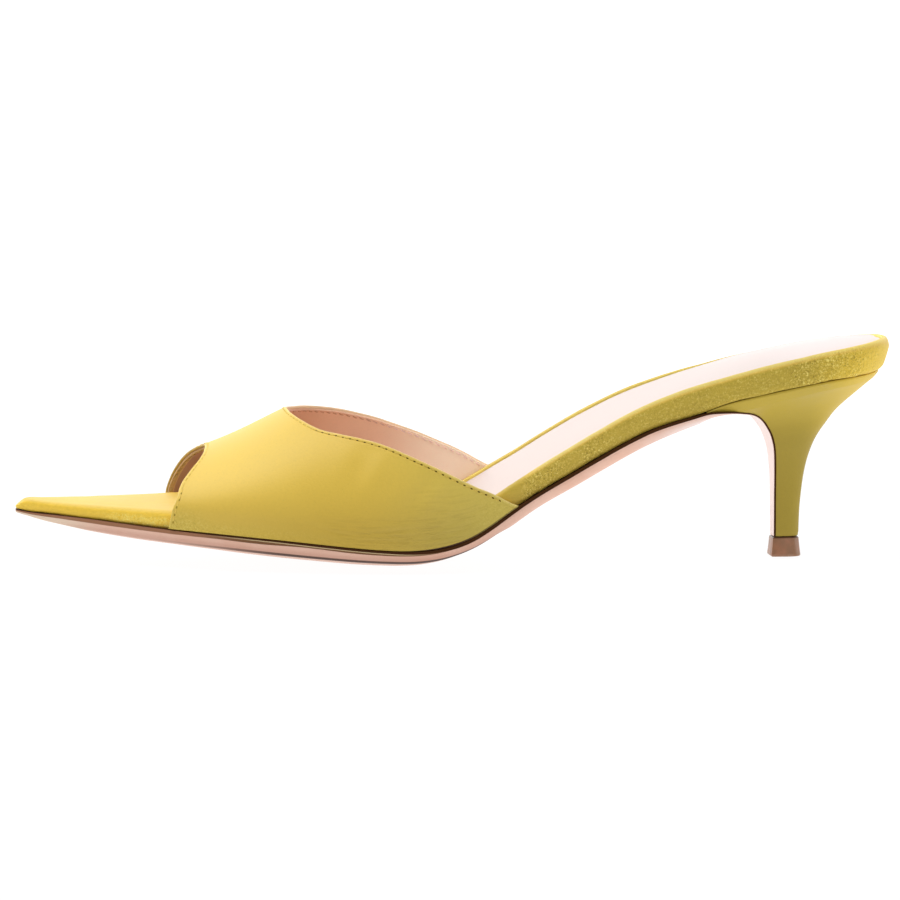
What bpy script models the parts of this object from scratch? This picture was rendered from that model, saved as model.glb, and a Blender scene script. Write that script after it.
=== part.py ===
"""Pointed open-toe slide sandal on a kitten heel, the left shoe of a pair.

Six pieces, as a shoemaker puts them together: the leather outsole with its
breast flap, the wrapped footbed, the sock lining let into it, the one-piece
vamp, the covered heel and its top piece.

Everything is worked out in millimetres in the last's own frame: t runs from
the toe tip to the back of the heel, y from the outer (lateral, negative) to
the inner (medial, positive) side, z up from the floor. The toe then points
along -X, and the origin is moved to the middle of the base at the very end.
"""
import math

import bmesh
import bpy
import numpy as np

MM = 0.001

# ---- driving dimensions, in millimetres ------------------------------------
LENGTH = 262.5        # toe tip to heel back, footbed
GAP = 0.3             # clearance kept between pieces that touch
VAMP_WALL = 1.6       # upper leather and its lining together
VAMP_BASE = 6.0       # height over which the vamp stands straight up the footbed edge
BASE_ANGLE = 15.0     # share of the vamp's round given to that straight part, degrees
RIDGE_SHIFT = 5.0     # the instep ridge lies this far towards the inner side
RIM_PROUD = 0.7       # footbed rim above the edge of the sock lining
SOCK_THICK = 1.0      # sock lining at its edge
SOCK_INSET = 2.5      # footbed rim, measured in from the outline
SOCK_FRONT = 50.0     # front edge of the sock lining, from the toe tip
FLAP_END = 6.2        # height at which the breast flap and the heel end
TIP_HEIGHT = 5.9      # top piece
HEEL_FRONT = 203.5    # where the heel's wings run out, from the toe tip


def table(names, rows):
    """A small table: one named column per word, one row per section."""
    return {name: np.array([row[i] for row in rows], float)
            for i, name in enumerate(names.split())}


# outline of the footbed seen from above: half widths about the line from
# the toe tip to the middle of the heel
PLAN = table("t lateral medial", [
    (0, 0.0, 0.0),
    (4, 4.2, 4.2),
    (15, 9.8, 9.2),
    (30, 16.6, 15.0),
    (45, 22.8, 20.6),
    (60, 28.2, 26.2),
    (80, 33.8, 32.2),
    (100, 37.0, 35.4),
    (112, 37.8, 35.4),
    (125, 37.4, 33.6),
    (140, 35.8, 30.2),
    (160, 32.2, 25.6),
    (180, 29.0, 22.8),
    (200, 26.8, 22.4),
    (220, 25.8, 23.8),
    (235, 25.2, 24.6),
    (250, 21.9, 21.8),
    (258.5, 13.6, 13.6),
    (262.5, 0.0, 0.0),
])

# side view: lower edge of the footbed (the feather line, then the heel seat),
# top of its rim, how far the sole sags between its edges across the foot,
# how much higher the inner side lies, and how far the lower edge is tucked in
SECTION = table("t bottom top camber rise tuck", [
    (0, 15.95, 16.95, 0.0, 0.0, 0.3),
    (1.2, 15.85, 17.9, 0.1, 0.0, 0.35),
    (2.5, 15.7, 18.7, 0.2, 0.0, 0.4),
    (4, 15.5, 18.95, 0.3, 0.05, 0.5),
    (7, 15.35, 18.75, 0.55, 0.1, 0.55),
    (12, 15.05, 18.4, 1.0, 0.2, 0.6),
    (25, 14.0, 17.95, 2.0, 0.45, 0.7),
    (40, 12.6, 17.5, 2.6, 0.85, 0.8),
    (48, 12.0, 17.25, 2.85, 1.2, 0.8),
    (57, 11.35, 16.85, 3.15, 1.3, 0.8),
    (70, 10.35, 16.2, 3.5, 0.95, 0.8),
    (85, 9.05, 15.0, 3.65, 0.45, 0.8),
    (100, 7.6, 13.9, 3.65, 0.05, 0.8),
    (110, 6.95, 13.4, 3.6, 0.0, 0.8),
    (117, 6.9, 13.7, 3.45, 0.0, 0.8),
    (124, 7.7, 15.1, 2.9, 0.0, 0.8),
    (132, 10.15, 18.2, 1.6, 0.0, 0.8),
    (140, 15.0, 22.8, 0.7, 0.0, 0.9),
    (145, 18.45, 26.0, 0.6, 0.0, 0.95),
    (150, 21.6, 29.1, 0.7, 0.0, 1.0),
    (160, 27.2, 35.0, 1.0, 0.7, 1.1),
    (171, 33.2, 41.1, 1.0, 1.3, 1.2),
    (183, 39.35, 47.3, 0.9, 1.25, 1.2),
    (192, 42.75, 50.9, 0.7, 1.1, 1.2),
    (201, 45.2, 53.9, 0.2, 0.9, 1.2),
    (207, 47.4, 55.6, 0.0, 0.8, 1.2),
    (219, 50.5, 58.8, 0.0, 0.6, 1.2),
    (231, 53.0, 61.6, 0.0, 0.3, 1.3),
    (243, 55.1, 64.1, 0.0, 0.1, 1.8),
    (253, 56.3, 65.75, 0.0, 0.0, 2.5),
    (263, 57.6, 67.3, 0.0, 0.0, 3.15),
])

# leather of the outsole by its place along the shoe: thickness, and how far
# its edge stands out from the footbed (it also carries the vamp's wall)
SOLE = table("t thick proud", [
    (0, 1.0, 0.1),
    (4, 1.4, 0.15),
    (10, 2.2, 0.2),
    (25, 3.1, 0.25),
    (40, 3.4, 0.3),
    (47, 3.5, 1.3),
    (55, 3.65, 2.0),
    (75, 3.9, 2.05),
    (110, 3.35, 2.05),
    (122, 3.15, 2.05),
    (130, 2.95, 2.05),
    (138, 3.1, 2.0),
    (144, 3.85, 1.6),
    (152, 3.85, 0.5),
    (165, 4.05, 0.1),
    (185, 3.9, 0.0),
    (196, 3.3, 0.0),
    (201, 2.75, 0.0),
])

# the outsole's back side from the end of the waist down the heel breast
BREAST = table("t z lateral medial thick", [
    (201.0, 44.8, 26.75, 22.4, 2.75),
    (204.3, 45.45, 26.1, 22.35, 1.95),
    (207.9, 45.6, 25.35, 22.1, 1.15),
    (211.5, 45.5, 23.9, 21.4, 0.7),
    (215.2, 45.1, 21.3, 19.6, 0.6),
    (218.75, 44.35, 17.2, 16.4, 0.6),
    (221.35, 43.1, 13.7, 13.4, 0.6),
    (223.25, 41.4, 11.3, 11.3, 0.6),
    (224.7, 39.5, 9.6, 9.6, 0.6),
    (225.8, 37.6, 8.6, 8.6, 0.6),
    (226.6, 35.5, 7.7, 7.7, 0.6),
    (227.15, 33.4, 6.9, 6.9, 0.6),
    (227.55, 30.6, 5.8, 5.8, 0.6),
    (227.85, 26.3, 4.7, 4.7, 0.6),
    (228.0, 20.2, 3.85, 3.85, 0.6),
    (228.1, 14.0, 3.55, 3.55, 0.6),
    (228.15, FLAP_END, 3.5, 3.5, 0.6),
])

# heel, from the top piece up to the seat: height on the breast, matching
# point of the back line, roundness of the section and share of the seat's form
HEEL = table("front_z back_t back_z round seat", [
    (6.2, 235.85, 6.2, 2.4, 0.0),
    (10.0, 235.9, 10.2, 2.4, 0.0),
    (14.5, 236.1, 15.0, 2.35, 0.0),
    (19.5, 236.6, 20.3, 2.3, 0.0),
    (24.5, 237.3, 25.4, 2.2, 0.02),
    (29.0, 238.35, 30.0, 2.1, 0.05),
    (33.0, 239.8, 34.1, 2.05, 0.1),
    (36.2, 241.55, 37.5, 2.0, 0.18),
    (38.8, 243.8, 40.7, 2.0, 0.28),
    (40.8, 246.15, 43.9, 2.0, 0.4),
    (42.4, 249.0, 46.8, 2.0, 0.52),
    (43.6, 251.95, 49.4, 2.0, 0.64),
    (44.4, 254.55, 51.7, 2.0, 0.76),
    (44.9, 256.8, 53.7, 2.0, 0.88),
    (45.3, 258.0, 54.8, 2.0, 0.94),
])

# vamp: height of its ridge over the feather line and squareness of its arch;
# past the throat the ridge is where the instep would carry it
RIDGE = table("t height square", [
    (40, 16.3, 2.0),
    (50, 20.2, 2.0),
    (56, 22.7, 2.05),
    (64, 26.4, 2.1),
    (73, 31.4, 2.1),
    (81, 36.0, 2.1),
    (90, 40.5, 2.1),
    (100, 45.0, 2.15),
    (112, 49.5, 2.15),
    (125, 53.0, 2.2),
    (140, 55.5, 2.25),
    (156, 57.0, 2.3),
])

# front edge and topline of the vamp, by degrees round the arch from the
# feather line up to the ridge, on the outer and on the inner side
OUTER_EDGES = table("degrees front topline", [
    (0, 44.6, 146.4),
    (5, 45.0, 144.75),
    (10, 45.4, 143.05),
    (14, 45.74, 141.75),
    (15, 45.83, 141.4),
    (16, 45.92, 140.1),
    (18, 46.11, 137.9),
    (21, 46.42, 134.6),
    (24, 46.75, 131.4),
    (28, 47.2, 126.9),
    (36, 47.8, 117.0),
    (44, 48.9, 106.0),
    (51, 50.5, 95.5),
    (57, 52.0, 89.0),
    (64, 53.9, 85.3),
    (72, 55.3, 82.7),
    (81, 56.0, 81.2),
    (90, 56.3, 80.8),
])
INNER_EDGES = table("degrees front topline", [
    (0, 44.2, 150.4),
    (5, 44.5, 148.7),
    (10, 44.8, 147.0),
    (14, 45.05, 145.75),
    (15, 45.12, 145.35),
    (16, 45.19, 144.0),
    (18, 45.34, 141.8),
    (21, 45.58, 139.0),
    (24, 45.83, 136.3),
    (28, 46.2, 132.5),
    (36, 47.0, 123.6),
    (44, 48.0, 113.2),
    (52, 49.1, 102.4),
    (60, 50.3, 93.8),
    (68, 51.7, 87.1),
    (75, 53.4, 82.9),
    (82, 55.4, 81.3),
    (90, 56.3, 80.8),
])


# ---- curves through the tables ----------------------------------------------
def spline(x, y):
    """Natural cubic through the points of one column."""
    n = len(x)
    h = np.diff(x)
    slope = np.diff(y) / h
    a = np.eye(n)
    r = np.zeros(n)
    for i in range(1, n - 1):
        a[i, i - 1], a[i, i], a[i, i + 1] = h[i - 1], 2 * (h[i - 1] + h[i]), h[i]
        r[i] = 3 * (slope[i] - slope[i - 1])
    c = np.linalg.solve(a, r)
    b = slope - h * (2 * c[:-1] + c[1:]) / 3
    d = np.diff(c) / (3 * h)

    def curve(q):
        q = np.clip(np.asarray(q, float), x[0], x[-1])
        i = np.clip(np.searchsorted(x, q, side="right") - 1, 0, n - 2)
        s = q - x[i]
        return y[i] + s * (b[i] + s * (c[i] + s * d[i]))

    return curve


def smooth(x, y):
    """Cubic that never swings past its points, for columns with steps."""
    h = np.diff(x)
    slope = np.diff(y) / h
    m = np.zeros(len(x))
    m[0], m[-1] = slope[0], slope[-1]
    for i in range(1, len(x) - 1):
        if slope[i - 1] * slope[i] > 0:
            w1, w2 = 2 * h[i] + h[i - 1], h[i] + 2 * h[i - 1]
            m[i] = (w1 + w2) / (w1 / slope[i - 1] + w2 / slope[i])

    def curve(q):
        q = np.clip(np.asarray(q, float), x[0], x[-1])
        i = np.clip(np.searchsorted(x, q, side="right") - 1, 0, len(x) - 2)
        s = (q - x[i]) / h[i]
        return ((1 + 2 * s) * (1 - s) ** 2 * y[i] + s * (1 - s) ** 2 * h[i] * m[i]
                + s * s * (3 - 2 * s) * y[i + 1] + s * s * (s - 1) * h[i] * m[i + 1])

    return curve


def turn(t):
    """Lengthwise place as an angle, so that round ends stay smooth."""
    return np.arccos(np.clip(1 - 2 * np.asarray(t, float) / LENGTH, -1, 1))


_lateral = spline(turn(PLAN["t"]), PLAN["lateral"])
_medial = spline(turn(PLAN["t"]), PLAN["medial"])
_bottom = spline(SECTION["t"], SECTION["bottom"])
_top = spline(SECTION["t"], SECTION["top"])
_camber = smooth(SECTION["t"], SECTION["camber"])
_rise = smooth(SECTION["t"], SECTION["rise"])
_tuck = smooth(SECTION["t"], SECTION["tuck"])
_thick = smooth(SOLE["t"], SOLE["thick"])
_proud = smooth(SOLE["t"], SOLE["proud"])
_ridge = spline(RIDGE["t"], RIDGE["height"])
_square = smooth(RIDGE["t"], RIDGE["square"])


def half_width(t, side, grow=0.0):
    """Half width at t, side -1 lateral or +1 medial."""
    return (_lateral(turn(t)) if side < 0 else _medial(turn(t))) + grow


def across(t, y):
    """Place across the foot: -1 at the lateral edge, +1 at the medial one."""
    w = np.where(y < 0, _lateral(turn(t)), _medial(turn(t)))
    return np.clip(y / np.maximum(w, 0.5), -1.05, 1.05)


def lift(t, y):
    """The inner side of the waist lies higher than the outer one."""
    return _rise(t) * (across(t, y) + 1) / 2


def sole_line(t, y):
    """Underside of the footbed, which the outsole and the heel meet."""
    e = np.abs(across(t, y))
    return _bottom(t) + lift(t, y) - _camber(t) * np.clip(1 - e ** 3, 0, 1)


def rim_line(t, y):
    """Top of the footbed's rim."""
    return _top(t) + lift(t, y)


# ---- building a closed body ---------------------------------------------------
class Body:
    def __init__(self):
        self.points = []
        self.faces = []

    def add(self, points):
        start = len(self.points)
        self.points.extend([tuple(map(float, p)) for p in points])
        return list(range(start, len(self.points)))

    def bridge(self, a, b):
        """Join two closed loops of the same length."""
        for i in range(len(a)):
            j = (i + 1) % len(a)
            self.faces.append((a[i], a[j], b[j], b[i]))

    def strip(self, rows):
        """Join rows of points; a row may be one point."""
        for a, b in zip(rows[:-1], rows[1:]):
            if len(a) == 1:
                self.faces += [(a[0], b[i], b[i + 1]) for i in range(len(b) - 1)]
            elif len(b) == 1:
                self.faces += [(a[i], a[i + 1], b[0]) for i in range(len(a) - 1)]
            else:
                self.faces += [(a[i], a[i + 1], b[i + 1], b[i]) for i in range(len(a) - 1)]

    def make(self, name, colour, roughness, metallic=0.0, specular=0.5):
        mesh = bpy.data.meshes.new(name)
        mesh.from_pydata([tuple(c * MM for c in p) for p in self.points], [], self.faces)
        work = bmesh.new()
        work.from_mesh(mesh)
        bmesh.ops.recalc_face_normals(work, faces=work.faces)
        work.to_mesh(mesh)
        work.free()
        material = bpy.data.materials.new(name)
        material.use_nodes = True
        shader = material.node_tree.nodes["Principled BSDF"]
        shader.inputs["Base Color"].default_value = (*colour, 1.0)
        shader.inputs["Roughness"].default_value = roughness
        shader.inputs["Metallic"].default_value = metallic
        shader.inputs["Specular IOR Level"].default_value = specular
        mesh.materials.append(material)
        mesh.shade_smooth()
        mesh.set_sharp_from_angle(angle=math.radians(40))
        piece = bpy.data.objects.new(name, mesh)
        bpy.context.scene.collection.objects.link(piece)
        return piece


def outline(count):
    """The footbed's outline: toe tip, lateral side, heel back, medial side."""
    angle = np.linspace(0, math.pi, count + 1)
    t = LENGTH * (1 - np.cos(angle)) / 2
    near = np.c_[t, -half_width(t, -1)]
    far = np.c_[t, half_width(t, +1)]
    loop = np.vstack([near, far[-2:0:-1]])
    ahead, behind = np.roll(loop, -1, 0), np.roll(loop, 1, 0)
    tangent = ahead - behind
    tangent /= np.linalg.norm(tangent, axis=1)[:, None]
    inward = np.c_[-tangent[:, 1], tangent[:, 0]]
    return loop, inward


def near_toe(t):
    """Insets shrink towards the sharp toe, so that they stay inside it."""
    return np.clip(0.5 + 0.5 * t / 22.0, 0.5, 1.0)


def rows_between(body, loop, count, steps, height):
    """Rows of points across a closed loop from its lateral to its medial side."""
    rows = [[loop[0]]]
    for i in range(1, count):
        a, b = np.array(body.points[loop[i]]), np.array(body.points[loop[-i]])
        inner = []
        for k in range(1, steps):
            p = a + (b - a) * k / steps
            p[2] = height(p[0], p[1])
            inner.append(p)
        rows.append([loop[i]] + body.add(inner) + [loop[-i]])
    rows.append([loop[count]])
    return rows


# ---- footbed and sock lining ---------------------------------------------------
def sock_front(y):
    return SOCK_FRONT + 4.0 * (y / 22.0) ** 2


def footbed(count=42, steps=6):
    body = Body()
    loop, inward = outline(count)
    # edge profile: tucked lower edge, full side, rolled rim
    edge = table("tucked inset height", [
        (1.0, 0.0, 0.0),
        (0.55, 0.0, 0.10),
        (0.2, 0.0, 0.35),
        (0.0, 0.0, 0.66),
        (0.0, 0.35, 0.86),
        (0.0, 1.0, 0.965),
        (0.0, 1.7, 1.0),
    ])
    rings = []
    for tucked, inset, height in zip(edge["tucked"], edge["inset"], edge["height"]):
        d = (tucked * _tuck(loop[:, 0]) + inset * near_toe(loop[:, 0]))[:, None]
        p = loop + inward * d
        low = sole_line(p[:, 0], p[:, 1])
        z = low + (rim_line(p[:, 0], p[:, 1]) - low) * height
        rings.append(body.add(np.c_[p, z]))
    # the recess for the sock lining, with its front edge inside the throat
    d = (SOCK_INSET - 0.15) * near_toe(loop[:, 0])[:, None]
    wall = loop + inward * d
    y = wall[:, 1]
    lip_t = np.maximum(wall[:, 0], sock_front(y) - 0.15)
    crest = np.array([body.points[i] for i in rings[-1]])
    for share in (0.33, 0.66):
        t = crest[:, 0] + (lip_t - crest[:, 0]) * share
        yy = crest[:, 1] + (y - crest[:, 1]) * share
        crown = 0.35 * np.clip(1 - across(t, yy) ** 2, 0, 1) * (lip_t > wall[:, 0])
        rings.append(body.add(np.c_[t, yy, rim_line(t, yy) + crown]))
    rings.append(body.add(np.c_[lip_t, y, rim_line(lip_t, y) - 0.2]))
    wall = loop + inward * (SOCK_INSET * near_toe(loop[:, 0]))[:, None]
    y = wall[:, 1]
    floor_t = np.maximum(wall[:, 0], sock_front(y))
    floor = lambda t, y: rim_line(t, y) - RIM_PROUD - SOCK_THICK - GAP
    rings.append(body.add(np.c_[floor_t, y, floor(floor_t, y)]))
    for a, b in zip(rings[:-1], rings[1:]):
        body.bridge(a, b)
    body.strip(rows_between(body, rings[0], count, steps, sole_line))
    body.strip(rows_between(body, rings[-1], count, steps, floor))
    return body


def sock_top(t, y):
    """Lining laid flat along the foot, plumper over the heel seat."""
    pad = 0.35 + 1.65 * np.clip((t - 188.0) / 34.0, 0, 1) ** 2 * (3 - 2 * np.clip((t - 188.0) / 34.0, 0, 1))
    behind = np.clip((t - (LENGTH - 26.0)) / 23.0, 0, 1)
    e = np.clip(across(t, y) ** 2 / 0.81 + behind ** 2.5, 0, 1)
    return rim_line(t, y) - RIM_PROUD + pad * (1 - e)


def sock_lining(count=36, steps=6):
    body = Body()
    loop, inward = outline(count)
    rings = []
    for extra, level in ((0.0, 0.0), (0.0, 0.7), (0.35, 1.0)):
        inset = (SOCK_INSET + GAP + extra) * near_toe(loop[:, 0])[:, None]
        p = loop + inward * inset
        y = p[:, 1]
        t = np.maximum(p[:, 0], sock_front(y) + GAP + extra)
        low = rim_line(t, y) - RIM_PROUD - SOCK_THICK
        high = sock_top(t, y)
        rings.append(body.add(np.c_[t, y, low + (high - low) * level]))
    for a, b in zip(rings[:-1], rings[1:]):
        body.bridge(a, b)
    low = lambda t, y: rim_line(t, y) - RIM_PROUD - SOCK_THICK
    body.strip(rows_between(body, rings[0], count, steps, low))
    body.strip(rows_between(body, rings[-1], count, steps, sock_top))
    return body


# ---- outsole ----------------------------------------------------------------------
def sole_path():
    """Side view of the outsole's upper side, by distance along it from the toe."""
    t = np.concatenate([np.arange(0, 198, 6.0), BREAST["t"]])
    z = np.concatenate([_bottom(np.arange(0, 198, 6.0)) - GAP, BREAST["z"]])
    s = np.concatenate([[0], np.cumsum(np.hypot(np.diff(t), np.diff(z)))])
    return s, spline(s, t), spline(s, z)


_path_s, _path_t, _path_z = sole_path()
_breast_s = _path_s[-len(BREAST["t"]):]
_breast_lateral = smooth(_breast_s, BREAST["lateral"])
_breast_medial = smooth(_breast_s, BREAST["medial"])
_breast_thick = smooth(_breast_s, BREAST["thick"])


def sole_half(s, side):
    """Half width of the outsole at distance s along it."""
    t = _path_t(s)
    plain = half_width(t, side, _proud(t))
    wing = (_breast_lateral if side < 0 else _breast_medial)(s)
    return np.where(s <= _breast_s[0], plain, wing)


def sole_thick(s):
    return np.where(s <= _breast_s[0], _thick(_path_t(s)), _breast_thick(s))


def sole_point(s, y, depth):
    """A point of the outsole: at s along it, y across, depth below its upper side."""
    t, z = _path_t(s), _path_z(s)
    dt, dz = _path_t(s + 0.05) - _path_t(s - 0.05), _path_z(s + 0.05) - _path_z(s - 0.05)
    size = np.hypot(dt, dz)
    dt, dz = dt / size, dz / size
    half = np.where(y < 0, sole_half(s, -1), sole_half(s, 1))
    e = np.clip(np.abs(y) / np.maximum(half, 0.5), 0, 1)
    flat = s <= _breast_s[0]
    fade = np.clip((_breast_s[0] + 12 - s) / 12, 0, 1)
    sag = np.where(flat, _camber(t), 0.1 * fade)
    up = _rise(t) * np.where(flat, 1.0, fade) * (np.clip(y / np.maximum(half, 0.5), -1, 1) + 1) / 2
    return np.stack([t + dz * depth, y, z + up - sag * (1 - e ** 3) - dt * depth], -1)


def sole_stations(scale=1.0):
    """Distances along the outsole: close together at the toe and round the breast."""
    end = _path_s[-1]
    bend = _breast_s[0]
    toe = 60 * (1 - np.cos(np.linspace(0, math.pi / 2, max(3, int(11 * scale)))))
    run = np.linspace(60, bend, max(3, int(20 * scale)))[1:]
    breast = np.linspace(bend, bend + 38, max(3, int(16 * scale)))[1:]
    flap = np.linspace(bend + 38, end, max(3, int(6 * scale)))[1:]
    return np.concatenate([toe, run, breast, flap])


def outsole(scale=1.0, steps=8):
    body = Body()
    s = sole_stations(scale)
    n = len(s)
    near = np.c_[s, -sole_half(s, -1)]
    far = np.c_[s, sole_half(s, 1)]
    near[0, 1] = far[0, 1] = 0
    cross = np.linspace(-1, 1, steps + 1)[1:-1]
    end = np.c_[np.full(steps - 1, s[-1]),
                np.where(cross < 0, -cross * near[-1, 1], cross * far[-1, 1])]
    loop = np.vstack([near, end, far[:0:-1]])
    tangent = np.roll(loop, -1, 0) - np.roll(loop, 1, 0)
    tangent /= np.linalg.norm(tangent, axis=1)[:, None]
    inward = np.c_[-tangent[:, 1], tangent[:, 0]]
    last = slice(n - 1, n + steps)
    inward[last] = [(0, 0)] * (steps + 1)
    inward[n - 1] = (0, 1)
    inward[n + steps - 1] = (0, -1)
    # edge profile: painted upright edge, then a rounded bevel to the walking side
    edge = table("inset depth", [
        (0.0, 0.0),
        (0.0, 0.34),
        (0.18, 0.58),
        (0.52, 0.82),
        (1.0, 0.97),
    ])
    thick = sole_thick(loop[:, 0])
    bevel = 2.4 * np.clip((thick - 0.4) / 2.8, 0.06, 1) * np.clip(0.3 + 0.7 * loop[:, 0] / 20, 0.3, 1)
    rings = []
    for inset, depth in zip(edge["inset"], edge["depth"]):
        p = loop + inward * (inset * bevel)[:, None]
        point = sole_point(p[:, 0], p[:, 1], depth * thick)
        point[:, 2] = np.maximum(point[:, 2], 0.0)
        rings.append(body.add(point))
    for a, b in zip(rings[:-1], rings[1:]):
        body.bridge(a, b)

    def rows(ring, inset, depth):
        count = n - 1
        out = [[ring[0]]]
        size = len(ring)
        p = loop + inward * (inset * bevel)[:, None]
        for i in range(1, n):
            a, b = p[i], p[(size - i) % size]
            if i == count:
                out.append(ring[n - 1:n + steps])
                continue
            inner = []
            for k in range(1, steps):
                q = a + (b - a) * k / steps
                point = sole_point(np.array(q[0]), np.array(q[1]), depth * sole_thick(q[0]))
                point[2] = max(point[2], 0.0)
                inner.append(point)
            out.append([ring[i]] + body.add(inner) + [ring[size - i]])
        return out

    body.strip(rows(rings[0], 0.0, 0.0))
    body.strip(rows(rings[-1], 1.0, 1.0))
    return body


# ---- heel and top piece ------------------------------------------------------------
def heel_seat_curve(count):
    """Upper edge of the heel cover, flush with the footbed's lower edge."""
    loop, inward = outline(400)
    p = loop + inward * (_tuck(loop[:, 0]) + 0.1)[:, None]
    half = p[:len(loop) // 2 + 1]
    half = half[half[:, 0] >= HEEL_FRONT]
    medial = p[len(loop) // 2:]
    medial = medial[medial[:, 0] >= HEEL_FRONT]

    def walk(q):
        s = np.concatenate([[0], np.cumsum(np.hypot(*np.diff(q, axis=0).T))])
        u = np.linspace(0, s[-1], count // 2 + 1)
        return np.c_[np.interp(u, s, q[:, 0]), np.interp(u, s, q[:, 1])]

    return walk(half), walk(medial)


def breast_at(z):
    """Distance along the outsole at which its breast reaches height z."""
    s = np.linspace(_breast_s[3], _path_s[-1], 600)
    return np.interp(-z, -_path_z(s), s)


def heel(count=24, steps=6, rows=1):
    body = Body()
    near_seat, far_seat = heel_seat_curve(count)
    half = count // 2
    a = np.linspace(0, 1, half + 1)
    wing_s = np.interp(HEEL_FRONT, _path_t(np.linspace(180, 215, 300)), np.linspace(180, 215, 300))
    level = np.linspace(0, len(HEEL["front_z"]) - 1, (len(HEEL["front_z"]) - 1) * rows + 1)
    index = np.arange(len(HEEL["front_z"]), dtype=float)
    column = {k: spline(index, v)(level) for k, v in HEEL.items()}
    loops = []

    def ring(front_s, back_t, back_z, roundness, seat, on_seat):
        """One closed loop: lateral wing edge, round the back, medial, across the breast."""
        front = sole_point(np.array(front_s), np.array(0.0), -GAP)
        ft, fz = front[0], front[2]
        if on_seat:
            ft = HEEL_FRONT
        points = []
        for side, curve in ((-1, near_seat), (1, far_seat)):
            edge_y = float(sole_half(np.array(front_s), side))
            if seat > 0.95:
                edge_y = abs(curve[0, 1] if side < 0 else curve[-1, 1])
            c = curve if side < 0 else curve[::-1]
            lam_seat = (c[:, 0] - c[0, 0]) / (c[-1, 0] - c[0, 0])
            wid_seat = np.abs(c[:, 1]) / abs(c[0, 1])
            lam_round = np.sin(a * math.pi / 2) ** (2 / roundness)
            wid_round = np.cos(a * math.pi / 2) ** (2 / roundness)
            lam = lam_round + (lam_seat - lam_round) * seat
            wid = wid_round + (wid_seat - wid_round) * seat
            t = ft + (back_t - ft) * lam
            y = side * edge_y * wid
            if on_seat:
                z = sole_line(t, y) - GAP
            else:
                lift_z = _rise(ft) * (1 if side > 0 else 0) * seat
                chord = fz + lift_z * (1 - lam) + (back_z - fz) * lam
                seat_z = sole_line(t, y) - GAP - 0.8
                chord_seat = seat_z[0] + (seat_z[-1] - seat_z[0]) * lam
                z = chord + (seat_z - chord_seat) * seat ** 2
            pts = np.c_[t, y, z]
            points.append(pts if side < 0 else pts[::-1][1:])
        outer = np.vstack(points)
        first, last = outer[0], outer[-1]
        across_front = []
        for k in range(1, steps):
            p = last + (first - last) * k / steps
            if on_seat:
                p[2] = sole_line(p[0], p[1]) - GAP
            across_front.append(p)
        return np.vstack([outer, across_front])

    for i in range(len(level)):
        s = breast_at(column["front_z"][i])
        if i == 0:
            s = _path_s[-1]
        loops.append(ring(s, column["back_t"][i], column["back_z"][i],
                          column["round"][i], column["seat"][i], False))
    top_back = near_seat[-1, 0]
    loops.append(ring(wing_s, top_back - 0.25, sole_line(top_back, 0.0) - GAP - 0.8, 2.0, 1.0, False))
    loops.append(ring(wing_s, top_back, 0.0, 2.0, 1.0, True))
    rings = [body.add(p) for p in loops]
    for p, q in zip(rings[:-1], rings[1:]):
        body.bridge(p, q)

    def lid(ring_ids, height=None):
        outer, front = ring_ids[:count + 1], ring_ids[count + 1:]
        out = [[outer[0]] + front[::-1] + [outer[-1]]]
        for i in range(1, half):
            p, q = np.array(body.points[outer[i]]), np.array(body.points[outer[count - i]])
            inner = []
            for k in range(1, steps):
                r = p + (q - p) * k / steps
                if height is not None:
                    r[2] = height(r[0], r[1])
                inner.append(r)
            out.append([outer[i]] + body.add(inner) + [outer[count - i]])
        out.append([outer[half]])
        return out

    body.strip(lid(rings[0]))
    body.strip(lid(rings[-1], lambda t, y: sole_line(t, y) - GAP))
    return body


def heel_tip(count=28):
    """Top piece: a small block, square in front and round behind, a little flared."""
    body = Body()
    # height, front, back, half width, roundness behind
    levels = table("z front back half round", [
        (0.0, 227.1, 236.35, 3.95, 2.7),
        (0.35, 227.05, 236.45, 4.0, 2.7),
        (2.0, 227.2, 236.25, 3.85, 2.6),
        (TIP_HEIGHT, 227.5, 235.85, 3.5, 2.4),
    ])
    half = count // 2
    a = np.linspace(-1, 1, count + 1) * math.pi / 2
    loops = []
    for z, front, back, width, power in zip(*levels.values()):
        straight = 0.35 * (back - front)
        lam = np.cos(a) ** (2 / power)
        y = np.sign(np.sin(a)) * width * np.abs(np.sin(a)) ** (2 / power)
        t = front + straight + (back - front - straight) * lam
        pts = np.vstack([[(front, -width)], np.c_[t, y], [(front, width)]])
        loops.append(body.add(np.c_[pts, np.full(len(pts), z)]))
    for p, q in zip(loops[:-1], loops[1:]):
        body.bridge(p, q)
    size = len(loops[0])
    for loop in (loops[0], loops[-1]):
        rows = [[loop[i], loop[size - 1 - i]] for i in range(size // 2)]
        body.strip(rows + [[loop[size // 2]]] if size % 2 else rows)
    return body


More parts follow.
